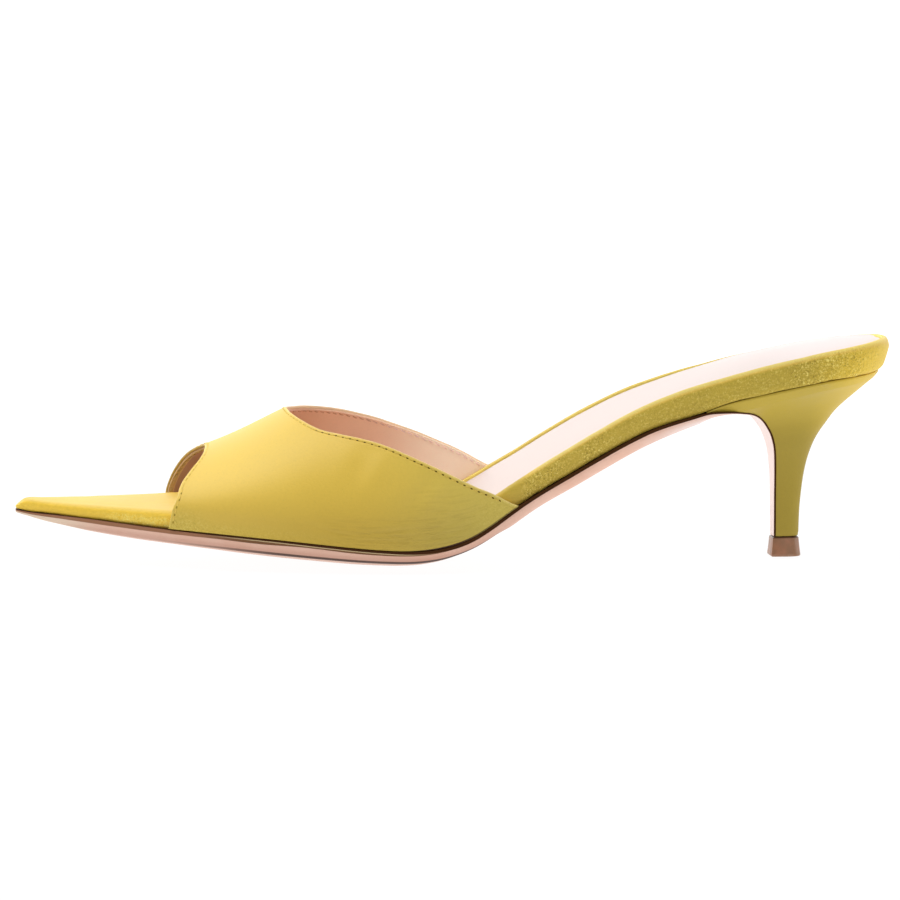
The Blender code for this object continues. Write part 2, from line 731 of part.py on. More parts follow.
# ---- vamp -----------------------------------------------------------------------------
def arch(t, degrees):
    """Outer face of the vamp: degrees run from the lateral feather line (0)
    over the ridge (90) to the medial feather line (180)."""
    t = np.asarray(t, float)
    degrees = np.asarray(degrees, float)
    side = np.where(degrees <= 90, -1.0, 1.0)
    from_edge = np.where(degrees <= 90, degrees, 180 - degrees)
    height, power = _ridge(t), _square(t)
    p = np.radians(np.clip((from_edge - BASE_ANGLE) / (90 - BASE_ANGLE), 0, 1) * 90)
    base = VAMP_BASE * np.clip(from_edge / BASE_ANGLE, 0, 1)
    width = np.where(side < 0, half_width(t, -1), half_width(t, 1)) + GAP + VAMP_WALL
    y = side * width * np.cos(p) ** (2 / power) + RIDGE_SHIFT * np.sin(p) ** 1.5
    z = (_bottom(t) + _rise(t) * (side > 0) * (1 - np.sin(p)) + base
         + (height - VAMP_BASE) * np.sin(p) ** (2 / power))
    return np.stack([t, y, z], -1)


_outer_front = smooth(OUTER_EDGES["degrees"], OUTER_EDGES["front"])
_outer_line = smooth(OUTER_EDGES["degrees"], OUTER_EDGES["topline"])
_inner_front = smooth(INNER_EDGES["degrees"], INNER_EDGES["front"])
_inner_line = smooth(INNER_EDGES["degrees"], INNER_EDGES["topline"])


def vamp_span(degrees):
    """Front edge and topline of the vamp at one angle of its arch."""
    d = np.minimum(degrees, 180 - degrees)
    outer = np.asarray(degrees) <= 90
    return (np.where(outer, _outer_front(d), _inner_front(d)),
            np.where(outer, _outer_line(d), _inner_line(d)))


def vamp_face(share, degrees, depth):
    """A point of the vamp: share of the way from front edge to topline, at one
    angle of the arch, and depth below the outer face."""
    front, back = vamp_span(degrees)
    t = front + (back - front) * share
    p = arch(t, degrees)
    if depth == 0:
        return p
    lo, hi = np.clip(degrees - 0.5, 0, 180), np.clip(degrees + 0.5, 0, 180)
    around = arch(t, hi) - arch(t, lo)
    along = arch(t + 0.5, degrees) - arch(t - 0.5, degrees)
    normal = np.cross(around, along)
    normal /= np.linalg.norm(normal, axis=-1)[..., None]
    flat = (degrees < 1) | (degrees > 179)
    normal[..., 2] = np.where(flat, 0.0, normal[..., 2])
    return p + normal * depth


def vamp(columns=48, rows=17):
    body = Body()
    degrees = np.linspace(0, 180, columns + 1)
    share = np.linspace(0, 1, rows + 1)
    grid_d, grid_s = np.meshgrid(degrees, share)
    outer = vamp_face(grid_s, grid_d, 0)
    inner = vamp_face(grid_s, grid_d, VAMP_WALL)
    out_rows = [body.add(r) for r in outer]
    in_rows = [body.add(r) for r in inner]
    body.strip(out_rows)
    body.strip(in_rows)
    for a, b in ((out_rows[0], in_rows[0]), (out_rows[-1], in_rows[-1])):
        body.strip([a, b])
    for end in (0, -1):
        body.strip([[r[end] for r in out_rows], [r[end] for r in in_rows]])
    return body


# ---- the shoe ---------------------------------------------------------------------------
def main():
    for item in list(bpy.data.objects):
        bpy.data.objects.remove(item, do_unlink=True)
    bodies = {
        "outsole": (outsole(), (0.70, 0.46, 0.38), 0.5),
        "footbed": (footbed(), (0.52, 0.40, 0.06), 0.6),
        "sock_lining": (sock_lining(), (0.95, 0.85, 0.80), 0.6),
        "vamp": (vamp(), (0.76, 0.53, 0.10), 0.55),
        "heel": (heel(), (0.47, 0.36, 0.06), 0.6),
        "heel_tip": (heel_tip(), (0.26, 0.13, 0.07), 0.45),
    }
    points = np.array([p for body, _, _ in bodies.values() for p in body.points])
    low, high = points.min(0), points.max(0)
    middle = np.array([(low[0] + high[0]) / 2, (low[1] + high[1]) / 2, 0.0])
    for name, (body, colour, roughness) in bodies.items():
        body.points = [tuple(np.array(p) - middle) for p in body.points]
        body.make(name, colour, roughness)


main()
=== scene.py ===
"""Pointed open-toe slide sandal on a kitten heel: the finished left shoe on a
pale studio floor.

Lengths are in millimetres in the last's own frame (t from the toe tip, y from
the outer to the inner side, z up) and are moved into the model's frame when a
piece is made.
"""
import math

import bmesh
import bpy
import numpy as np
from mathutils import Matrix, Vector


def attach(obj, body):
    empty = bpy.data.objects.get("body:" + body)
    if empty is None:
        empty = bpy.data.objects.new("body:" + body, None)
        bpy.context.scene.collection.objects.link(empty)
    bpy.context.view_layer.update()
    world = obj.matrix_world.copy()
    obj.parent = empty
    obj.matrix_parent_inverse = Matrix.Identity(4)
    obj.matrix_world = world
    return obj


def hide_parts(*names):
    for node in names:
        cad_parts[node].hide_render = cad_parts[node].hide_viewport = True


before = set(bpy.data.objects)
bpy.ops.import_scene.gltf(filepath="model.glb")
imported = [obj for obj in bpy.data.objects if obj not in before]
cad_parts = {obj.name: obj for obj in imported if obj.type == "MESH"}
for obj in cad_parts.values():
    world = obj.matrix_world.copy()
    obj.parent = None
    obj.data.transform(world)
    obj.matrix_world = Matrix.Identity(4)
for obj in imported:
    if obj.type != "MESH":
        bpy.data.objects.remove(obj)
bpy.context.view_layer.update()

MM = 0.001
MIDDLE = np.array([131.2319, -1.1082, 0.0])   # last's frame to the model's frame

# ---- the shoe's own sizes ------------------------------------------------------
LENGTH = 262.5
GAP = 0.3
VAMP_WALL = 1.6
VAMP_BASE = 6.0
BASE_ANGLE = 15.0
RIDGE_SHIFT = 5.0
RIM_PROUD = 0.7
SOCK_THICK = 1.0
SOCK_INSET = 2.5
SOCK_FRONT = 50.0
FLAP_END = 6.2
TIP_HEIGHT = 5.9
HEEL_FRONT = 203.5

FOLD_RADIUS = 0.42     # folded edge of the upper leather
LEATHER = 0.8          # upper leather away from its folded edges
STITCH_INSET = 1.12    # stitch line, in from the folded edge
STITCH_PITCH = 2.3
THREAD = 0.15          # thread radius


def table(names, rows):
    return {name: np.array([row[i] for row in rows], float)
            for i, name in enumerate(names.split())}


PLAN = table("t lateral medial", [
    (0, 0.0, 0.0), (4, 4.2, 4.2), (15, 9.8, 9.2), (30, 16.6, 15.0),
    (45, 22.8, 20.6), (60, 28.2, 26.2), (80, 33.8, 32.2), (100, 37.0, 35.4),
    (112, 37.8, 35.4), (125, 37.4, 33.6), (140, 35.8, 30.2), (160, 32.2, 25.6),
    (180, 29.0, 22.8), (200, 26.8, 22.4), (220, 25.8, 23.8), (235, 25.2, 24.6),
    (250, 21.9, 21.8), (258.5, 13.6, 13.6), (262.5, 0.0, 0.0),
])

SECTION = table("t bottom top camber rise tuck", [
    (0, 15.95, 16.95, 0.0, 0.0, 0.3),
    (1.2, 15.85, 17.9, 0.1, 0.0, 0.35),
    (2.5, 15.7, 18.7, 0.2, 0.0, 0.4),
    (4, 15.5, 18.95, 0.3, 0.05, 0.5),
    (7, 15.35, 18.75, 0.55, 0.1, 0.55),
    (12, 15.05, 18.4, 1.0, 0.2, 0.6),
    (25, 14.0, 17.95, 2.0, 0.45, 0.7),
    (40, 12.6, 17.5, 2.6, 0.85, 0.8),
    (48, 12.0, 17.25, 2.85, 1.2, 0.8),
    (57, 11.35, 16.85, 3.15, 1.3, 0.8),
    (70, 10.35, 16.2, 3.5, 0.95, 0.8),
    (85, 9.05, 15.0, 3.65, 0.45, 0.8),
    (100, 7.6, 13.9, 3.65, 0.05, 0.8),
    (110, 6.95, 13.4, 3.6, 0.0, 0.8),
    (117, 6.9, 13.7, 3.45, 0.0, 0.8),
    (124, 7.7, 15.1, 2.9, 0.0, 0.8),
    (132, 10.15, 18.2, 1.6, 0.0, 0.8),
    (140, 15.0, 22.8, 0.7, 0.0, 0.9),
    (145, 18.45, 26.0, 0.6, 0.0, 0.95),
    (150, 21.6, 29.1, 0.7, 0.0, 1.0),
    (160, 27.2, 35.0, 1.0, 0.7, 1.1),
    (171, 33.2, 41.1, 1.0, 1.3, 1.2),
    (183, 39.35, 47.3, 0.9, 1.25, 1.2),
    (192, 42.75, 50.9, 0.7, 1.1, 1.2),
    (201, 45.2, 53.9, 0.2, 0.9, 1.2),
    (207, 47.4, 55.6, 0.0, 0.8, 1.2),
    (219, 50.5, 58.8, 0.0, 0.6, 1.2),
    (231, 53.0, 61.6, 0.0, 0.3, 1.3),
    (243, 55.1, 64.1, 0.0, 0.1, 1.8),
    (253, 56.3, 65.75, 0.0, 0.0, 2.5),
    (263, 57.6, 67.3, 0.0, 0.0, 3.15),
])

SOLE = table("t thick proud", [
    (0, 1.0, 0.1), (4, 1.4, 0.15), (10, 2.2, 0.2), (25, 3.1, 0.25),
    (40, 3.4, 0.3), (47, 3.5, 1.3), (55, 3.65, 2.0), (75, 3.9, 2.05),
    (110, 3.35, 2.05), (122, 3.15, 2.05), (130, 2.95, 2.05), (138, 3.1, 2.0),
    (144, 3.85, 1.6), (152, 3.85, 0.5), (165, 4.05, 0.1), (185, 3.9, 0.0),
    (196, 3.3, 0.0), (201, 2.75, 0.0),
])

BREAST = table("t z lateral medial thick", [
    (201.0, 44.8, 26.75, 22.4, 2.75),
    (204.3, 45.45, 26.1, 22.35, 1.95),
    (207.9, 45.6, 25.35, 22.1, 1.15),
    (211.5, 45.5, 23.9, 21.4, 0.7),
    (215.2, 45.1, 21.3, 19.6, 0.6),
    (218.75, 44.35, 17.2, 16.4, 0.6),
    (221.35, 43.1, 13.7, 13.4, 0.6),
    (223.25, 41.4, 11.3, 11.3, 0.6),
    (224.7, 39.5, 9.6, 9.6, 0.6),
    (225.8, 37.6, 8.6, 8.6, 0.6),
    (226.6, 35.5, 7.7, 7.7, 0.6),
    (227.15, 33.4, 6.9, 6.9, 0.6),
    (227.55, 30.6, 5.8, 5.8, 0.6),
    (227.85, 26.3, 4.7, 4.7, 0.6),
    (228.0, 20.2, 3.85, 3.85, 0.6),
    (228.1, 14.0, 3.55, 3.55, 0.6),
    (228.15, FLAP_END, 3.5, 3.5, 0.6),
])

HEEL = table("front_z back_t back_z round seat", [
    (6.2, 235.85, 6.2, 2.4, 0.0),
    (10.0, 235.9, 10.2, 2.4, 0.0),
    (14.5, 236.1, 15.0, 2.35, 0.0),
    (19.5, 236.6, 20.3, 2.3, 0.0),
    (24.5, 237.3, 25.4, 2.2, 0.02),
    (29.0, 238.35, 30.0, 2.1, 0.05),
    (33.0, 239.8, 34.1, 2.05, 0.1),
    (36.2, 241.55, 37.5, 2.0, 0.18),
    (38.8, 243.8, 40.7, 2.0, 0.28),
    (40.8, 246.15, 43.9, 2.0, 0.4),
    (42.4, 249.0, 46.8, 2.0, 0.52),
    (43.6, 251.95, 49.4, 2.0, 0.64),
    (44.4, 254.55, 51.7, 2.0, 0.76),
    (44.9, 256.8, 53.7, 2.0, 0.88),
    (45.3, 258.0, 54.8, 2.0, 0.94),
])

RIDGE = table("t height square", [
    (40, 16.3, 2.0), (50, 20.2, 2.0), (56, 22.7, 2.05), (64, 26.4, 2.1),
    (73, 31.4, 2.1), (81, 36.0, 2.1), (90, 40.5, 2.1), (100, 45.0, 2.15),
    (112, 49.5, 2.15), (125, 53.0, 2.2), (140, 55.5, 2.25), (156, 57.0, 2.3),
])

OUTER_EDGES = table("degrees front topline", [
    (0, 44.6, 146.4), (5, 45.0, 144.75), (10, 45.4, 143.05), (14, 45.74, 141.75),
    (15, 45.83, 141.4), (16, 45.92, 140.1), (18, 46.11, 137.9), (21, 46.42, 134.6),
    (24, 46.75, 131.4), (28, 47.2, 126.9), (36, 47.8, 117.0), (44, 48.9, 106.0),
    (51, 50.5, 95.5), (57, 52.0, 89.0), (64, 53.9, 85.3), (72, 55.3, 82.7),
    (81, 56.0, 81.2), (90, 56.3, 80.8),
])
INNER_EDGES = table("degrees front topline", [
    (0, 44.2, 150.4), (5, 44.5, 148.7), (10, 44.8, 147.0), (14, 45.05, 145.75),
    (15, 45.12, 145.35), (16, 45.19, 144.0), (18, 45.34, 141.8), (21, 45.58, 139.0),
    (24, 45.83, 136.3), (28, 46.2, 132.5), (36, 47.0, 123.6), (44, 48.0, 113.2),
    (52, 49.1, 102.4),
    (60, 50.3, 93.8), (68, 51.7, 87.1), (75, 53.4, 82.9), (82, 55.4, 81.3),
    (90, 56.3, 80.8),
])

# painted edge of the outsole: depth of the dark line, which is also painted shadow in the joint, and of the brown band
BANDS = table("t dark brown", [
    (0, 0.24, 0.60), (13, 0.32, 1.20), (27, 0.38, 1.6), (45, 0.5, 1.55),
    (57, 0.58, 1.5), (71, 0.62, 1.7), (85, 0.74, 1.35), (100, 0.84, 1.6),
    (115, 0.98, 1.5), (128, 1.12, 1.16), (150, 1.12, 1.12), (195, 1.02, 1.02), (205, 0.58, 0.58), (215, 0.42, 0.42),
    (229, 0.6, 0.6),
])

# creases and hollows of the vamp: place by t and height, run along the skin by
# angle from level, half length, half width, depth (negative is a ridge)
CREASES = table("side t z angle length width depth", [
    (-1, 100.0, 31.0, 62, 7.5, 3.6, 0.42),
    (-1, 104.5, 29.5, 60, 7.0, 2.4, -0.16),
    (-1, 117.0, 23.5, 50, 6.5, 2.4, 0.38),
    (-1, 121.5, 26.0, 8, 3.5, 0.50, 0.10),
    (-1, 124.0, 24.2, 11, 4.0, 0.50, 0.13),
    (-1, 126.5, 22.9, 15, 4.5, 0.50, 0.13),
    (-1, 120.5, 22.0, 48, 6.0, 1.8, -0.16),
    (-1, 124.0, 20.0, 38, 6.5, 1.5, 0.15),
    (-1, 88.0, 20.0, 8, 26.0, 9.0, 0.55),
    (-1, 101.0, 14.6, 1, 15.0, 0.60, 0.09),
    (-1, 108.0, 12.6, 2, 13.0, 0.50, 0.13),
    (-1, 99.0, 11.6, -2, 12.0, 0.50, 0.12),
    (-1, 113.0, 11.2, 3, 12.0, 0.50, 0.15),
    (-1, 106.0, 9.9, 0, 13.0, 0.45, 0.12),
    (-1, 119.0, 13.3, 8, 12.0, 0.50, 0.15),
    (-1, 116.0, 9.6, 4, 11.0, 0.45, 0.11),
    (-1, 123.0, 11.4, 13, 10.0, 0.50, 0.15),
    (-1, 121.0, 16.2, 9, 11.0, 0.60, 0.11),
    (-1, 127.0, 14.6, 19, 9.0, 0.50, 0.15),
    (-1, 129.0, 12.6, 24, 8.0, 0.45, 0.12),
    (-1, 131.0, 17.6, 24, 8.0, 0.60, 0.14),
    (-1, 133.0, 15.6, 28, 7.0, 0.45, 0.12),
    (-1, 136.0, 19.4, 31, 6.0, 0.50, 0.12),
    (-1, 126.0, 19.6, 22, 8.0, 0.70, 0.11),
    (-1, 124.0, 22.4, 26, 6.0, 0.90, 0.12),
    (-1, 72.0, 13.0, -6, 9.0, 1.2, 0.06),
    (1, 98.0, 33.0, 58, 8.0, 3.4, 0.36),
    (1, 118.0, 24.5, 45, 8.0, 2.2, 0.24),
    (1, 123.0, 22.0, 42, 7.0, 1.9, -0.14),
    (1, 104.0, 12.6, 1, 14.0, 0.55, 0.12),
    (1, 110.0, 11.0, 3, 13.0, 0.50, 0.14),
    (1, 119.0, 13.4, 9, 12.0, 0.55, 0.14),
    (1, 124.0, 11.6, 14, 10.0, 0.50, 0.13),
    (1, 129.0, 15.8, 21, 9.0, 0.55, 0.14),
    (1, 133.0, 18.8, 27, 8.0, 0.60, 0.13),
    (1, 86.0, 21.0, 6, 24.0, 9.0, 0.45),
])


# ---- curves ----------------------------------------------------------------------
def spline(x, y):
    n = len(x)
    h = np.diff(x)
    slope = np.diff(y) / h
    a = np.eye(n)
    r = np.zeros(n)
    for i in range(1, n - 1):
        a[i, i - 1], a[i, i], a[i, i + 1] = h[i - 1], 2 * (h[i - 1] + h[i]), h[i]
        r[i] = 3 * (slope[i] - slope[i - 1])
    c = np.linalg.solve(a, r)
    b = slope - h * (2 * c[:-1] + c[1:]) / 3
    d = np.diff(c) / (3 * h)

    def curve(q):
        q = np.clip(np.asarray(q, float), x[0], x[-1])
        i = np.clip(np.searchsorted(x, q, side="right") - 1, 0, n - 2)
        s = q - x[i]
        return y[i] + s * (b[i] + s * (c[i] + s * d[i]))

    return curve


def smooth(x, y):
    h = np.diff(x)
    slope = np.diff(y) / h
    m = np.zeros(len(x))
    m[0], m[-1] = slope[0], slope[-1]
    for i in range(1, len(x) - 1):
        if slope[i - 1] * slope[i] > 0:
            w1, w2 = 2 * h[i] + h[i - 1], h[i] + 2 * h[i - 1]
            m[i] = (w1 + w2) / (w1 / slope[i - 1] + w2 / slope[i])

    def curve(q):
        q = np.clip(np.asarray(q, float), x[0], x[-1])
        i = np.clip(np.searchsorted(x, q, side="right") - 1, 0, len(x) - 2)
        s = (q - x[i]) / h[i]
        return ((1 + 2 * s) * (1 - s) ** 2 * y[i] + s * (1 - s) ** 2 * h[i] * m[i]
                + s * s * (3 - 2 * s) * y[i + 1] + s * s * (s - 1) * h[i] * m[i + 1])

    return curve


def turn(t):
    return np.arccos(np.clip(1 - 2 * np.asarray(t, float) / LENGTH, -1, 1))


def ease(x, lo, hi):
    """Smooth step from 0 at lo to 1 at hi."""
    u = np.clip((np.asarray(x, float) - lo) / (hi - lo), 0, 1)
    return u * u * (3 - 2 * u)


_lateral = spline(turn(PLAN["t"]), PLAN["lateral"])
_medial = spline(turn(PLAN["t"]), PLAN["medial"])
_bottom = spline(SECTION["t"], SECTION["bottom"])
_top = spline(SECTION["t"], SECTION["top"])
_camber = smooth(SECTION["t"], SECTION["camber"])
_rise = smooth(SECTION["t"], SECTION["rise"])
_tuck = smooth(SECTION["t"], SECTION["tuck"])
_thick = smooth(SOLE["t"], SOLE["thick"])
_proud = smooth(SOLE["t"], SOLE["proud"])
_ridge = spline(RIDGE["t"], RIDGE["height"])
_square = smooth(RIDGE["t"], RIDGE["square"])
_dark = smooth(BANDS["t"], BANDS["dark"])
_brown = smooth(BANDS["t"], BANDS["brown"])


def half_width(t, side, grow=0.0):
    return (_lateral(turn(t)) if side < 0 else _medial(turn(t))) + grow


def across(t, y):
    w = np.where(y < 0, _lateral(turn(t)), _medial(turn(t)))
    return np.clip(y / np.maximum(w, 0.5), -1.05, 1.05)


def lift(t, y):
    return _rise(t) * (across(t, y) + 1) / 2


def sole_line(t, y):
    e = np.abs(across(t, y))
    return _bottom(t) + lift(t, y) - _camber(t) * np.clip(1 - e ** 3, 0, 1)


def rim_line(t, y):
    return _top(t) + lift(t, y)


# ---- noise ---------------------------------------------------------------------------
def lattice(p, size, seed):
    """Smooth lattice noise from -1 to 1, with cells of that size in millimetres."""
    q = p / size
    base = np.floor(q).astype(np.int64)
    f = q - base
    f = f * f * (3 - 2 * f)
    total = np.zeros(len(p))
    for dx in (0, 1):
        for dy in (0, 1):
            for dz in (0, 1):
                h = ((base[:, 0] + dx) * 73856093) ^ ((base[:, 1] + dy) * 19349663) ^ \
                    ((base[:, 2] + dz) * 83492791) ^ (seed * 2654435761)
                h = (h ^ (h >> 13)) * 1274126177
                h = (h ^ (h >> 16)) & 0xFFFFFF
                w = (f[:, 0] if dx else 1 - f[:, 0]) * (f[:, 1] if dy else 1 - f[:, 1]) * \
                    (f[:, 2] if dz else 1 - f[:, 2])
                total += w * (h / 8388607.5 - 1)
    return total


def cloud(p, size, seed, octaves=3):
    return sum(lattice(p, size / 2 ** k, seed + 11 * k) / 2 ** k for k in range(octaves)) / 1.5


# ---- building a piece -------------------------------------------------------------------
class Skin:
    """Grids of points, in millimetres, joined where they share points."""

    def __init__(self):
        self.points, self.faces, self.values, self.count = [], [], {}, 0

    def grid(self, points, round_rows=False, round_columns=False, **values):
        rows, columns = points.shape[:2]
        index = self.count + np.arange(rows * columns).reshape(rows, columns)
        self.points.append(points.reshape(-1, 3))
        self.count += rows * columns
        for key, value in values.items():
            self.values.setdefault(key, []).append(
                np.broadcast_to(np.asarray(value, float), (rows, columns)).reshape(-1))
        if round_rows:
            index = np.vstack([index, index[:1]])
        if round_columns:
            index = np.hstack([index, index[:, :1]])
        self.faces.append(np.stack([index[:-1, :-1], index[:-1, 1:],
                                    index[1:, 1:], index[1:, :-1]], -1).reshape(-1, 4))
        return index

    def make(self, name, material, roughen=None, sharp=50):
        points = np.vstack(self.points)
        faces = np.vstack(self.faces)
        key = np.round(points / 0.001).astype(np.int64)
        _, first, inverse = np.unique(key, axis=0, return_index=True, return_inverse=True)
        inverse = inverse.reshape(-1)
        points = points[first]
        faces = inverse[faces]
        clean = []
        for face in faces.tolist():
            kept = [v for i, v in enumerate(face) if v != face[i - 1]]
            if len(set(kept)) >= 3 and len(set(kept)) == len(kept):
                clean.append(kept)
        mesh = bpy.data.meshes.new(name)
        mesh.from_pydata(((points - MIDDLE) * MM).tolist(), [], clean)
        work = bmesh.new()
        work.from_mesh(mesh)
        bmesh.ops.recalc_face_normals(work, faces=work.faces)
        work.to_mesh(mesh)
        work.free()
        if roughen is not None:
            normals = np.empty(len(points) * 3, np.float32)
            mesh.vertex_normals.foreach_get("vector", normals)
            normals = normals.reshape(-1, 3)
            push = roughen(points, normals)
            points = points + normals * push[:, None]
            mesh.vertices.foreach_set("co", ((points - MIDDLE) * MM).astype(np.float32).reshape(-1))
            mesh.update()
        for key_name, parts in self.values.items():
            layer = mesh.attributes.new(key_name, "FLOAT", "POINT")
            layer.data.foreach_set("value", np.concatenate(parts)[first].astype(np.float32))
        mesh.materials.append(material)
        mesh.shade_smooth()
        mesh.set_sharp_from_angle(angle=math.radians(sharp))
        piece = bpy.data.objects.new(name, mesh)
        bpy.context.scene.collection.objects.link(piece)
        return piece


def outline(count):
    angle = np.linspace(0, math.pi, count + 1)
    t = LENGTH * (1 - np.cos(angle)) / 2
    near = np.c_[t, -half_width(t, -1)]
    far = np.c_[t, half_width(t, +1)]
    loop = np.vstack([near, far[-2:0:-1]])
    ahead, behind = np.roll(loop, -1, 0), np.roll(loop, 1, 0)
    tangent = ahead - behind
    tangent /= np.linalg.norm(tangent, axis=1)[:, None]
    inward = np.c_[-tangent[:, 1], tangent[:, 0]]
    return loop, inward


def near_toe(t):
    return np.clip(0.5 + 0.5 * t / 22.0, 0.5, 1.0)


def lid(ring, count, steps, height):
    """Rows of points across a closed ring, from its near to its far side."""
    near = ring[:count + 1]
    far = np.vstack([ring[:1], ring[:count - 1:-1]])
    w = np.linspace(0, 1, steps + 1)[None, :, None]
    points = near[:, None, :] * (1 - w) + far[:, None, :] * w
    inner = points[:, 1:-1]
    inner[..., 2] = height(inner[..., 0], inner[..., 1])
    points[0] = ring[0]
    points[-1] = ring[count]
    return points


# ---- materials -----------------------------------------------------------------------------
def srgb(*rgb):
    c = np.array(rgb, float) / 255
    return tuple(np.where(c <= 0.04045, c / 12.92, ((c + 0.055) / 1.055) ** 2.4).tolist()) + (1.0,)


class Look:
    """A material's node tree, with short names for the nodes it uses."""

    def __init__(self, name, roughness=0.5, specular=0.5, **constants):
        self.material = bpy.data.materials.new(name)
        self.material.use_nodes = True
        self.tree = self.material.node_tree
        self.shader = self.tree.nodes["Principled BSDF"]
        self.set("Roughness", roughness)
        self.set("Specular IOR Level", specular)
        for key, value in constants.items():
            self.set(key.replace("_", " "), value)
        self.place = self.node("ShaderNodeTexCoord").outputs["Object"]

    def node(self, kind, **settings):
        made = self.tree.nodes.new(kind)
        for key, value in settings.items():
            setattr(made, key, value)
        return made

    def set(self, socket, value):
        self.put(self.shader.inputs[socket], value)

    def put(self, socket, value):
        if isinstance(value, bpy.types.NodeSocket):
            self.tree.links.new(value, socket)
        else:
            socket.default_value = value

    def noise(self, size_mm, detail=3.0, rough=0.5, distort=0.0, stretch=None, place=None):
        made = self.node("ShaderNodeTexNoise")
        made.inputs["Scale"].default_value = 1000.0 / size_mm
        made.inputs["Detail"].default_value = detail
        made.inputs["Roughness"].default_value = rough
        made.inputs["Distortion"].default_value = distort
        place = place or self.place
        if stretch:
            scaled = self.node("ShaderNodeMapping")
            scaled.inputs["Scale"].default_value = stretch
            self.put(scaled.inputs["Vector"], place)
            place = scaled.outputs["Vector"]
        self.put(made.inputs["Vector"], place)
        return made.outputs["Fac"]

    def cells(self, size_mm, feature="F1", jitter=1.0):
        made = self.node("ShaderNodeTexVoronoi", feature=feature)
        made.inputs["Scale"].default_value = 1000.0 / size_mm
        made.inputs["Randomness"].default_value = jitter
        self.put(made.inputs["Vector"], self.place)
        return made.outputs["Distance"]

    def math(self, operation, a, b=0.0, clamp=False):
        made = self.node("ShaderNodeMath", operation=operation, use_clamp=clamp)
        self.put(made.inputs[0], a)
        self.put(made.inputs[1], b)
        return made.outputs[0]

    def span(self, value, low, high, to_low=0.0, to_high=1.0):
        made = self.node("ShaderNodeMapRange", interpolation_type="SMOOTHSTEP")
        self.put(made.inputs["Value"], value)
        made.inputs["From Min"].default_value = low
        made.inputs["From Max"].default_value = high
        made.inputs["To Min"].default_value = to_low
        made.inputs["To Max"].default_value = to_high
        return made.outputs["Result"]

    def mix(self, share, a, b, blend="MIX"):
        made = self.node("ShaderNodeMix", data_type="RGBA", blend_type=blend)
        self.put(made.inputs["Factor"], share)
        self.put([s for s in made.inputs if s.name == "A" and s.type == "RGBA"][0], a)
        self.put([s for s in made.inputs if s.name == "B" and s.type == "RGBA"][0], b)
        return [s for s in made.outputs if s.type == "RGBA"][0]

    def value(self, name):
        return self.node("ShaderNodeAttribute", attribute_name=name).outputs["Fac"]

    def axis(self, which):
        made = self.node("ShaderNodeSeparateXYZ")
        self.put(made.inputs[0], self.place)
        return made.outputs[which]

    def bump(self, height, distance_mm, strength=1.0, under=None):
        made = self.node("ShaderNodeBump")
        made.inputs["Strength"].default_value = strength
        made.inputs["Distance"].default_value = distance_mm * MM
        self.put(made.inputs["Height"], height)
        if under is not None:
            self.put(made.inputs["Normal"], under)
        return made.outputs["Normal"]

    def shade(self, colour, share, amount):
        """Colour made lighter and darker by a value around one half."""
        factor = self.math("ADD", self.math("MULTIPLY", self.math("SUBTRACT", share, 0.5), amount), 1.0)
        return self.times(colour, factor)

    def times(self, colour, factor):
        grey = self.node("ShaderNodeCombineXYZ")
        for i in range(3):
            self.put(grey.inputs[i], factor)
        return self.mix(1.0, colour, grey.outputs[0], "MULTIPLY")


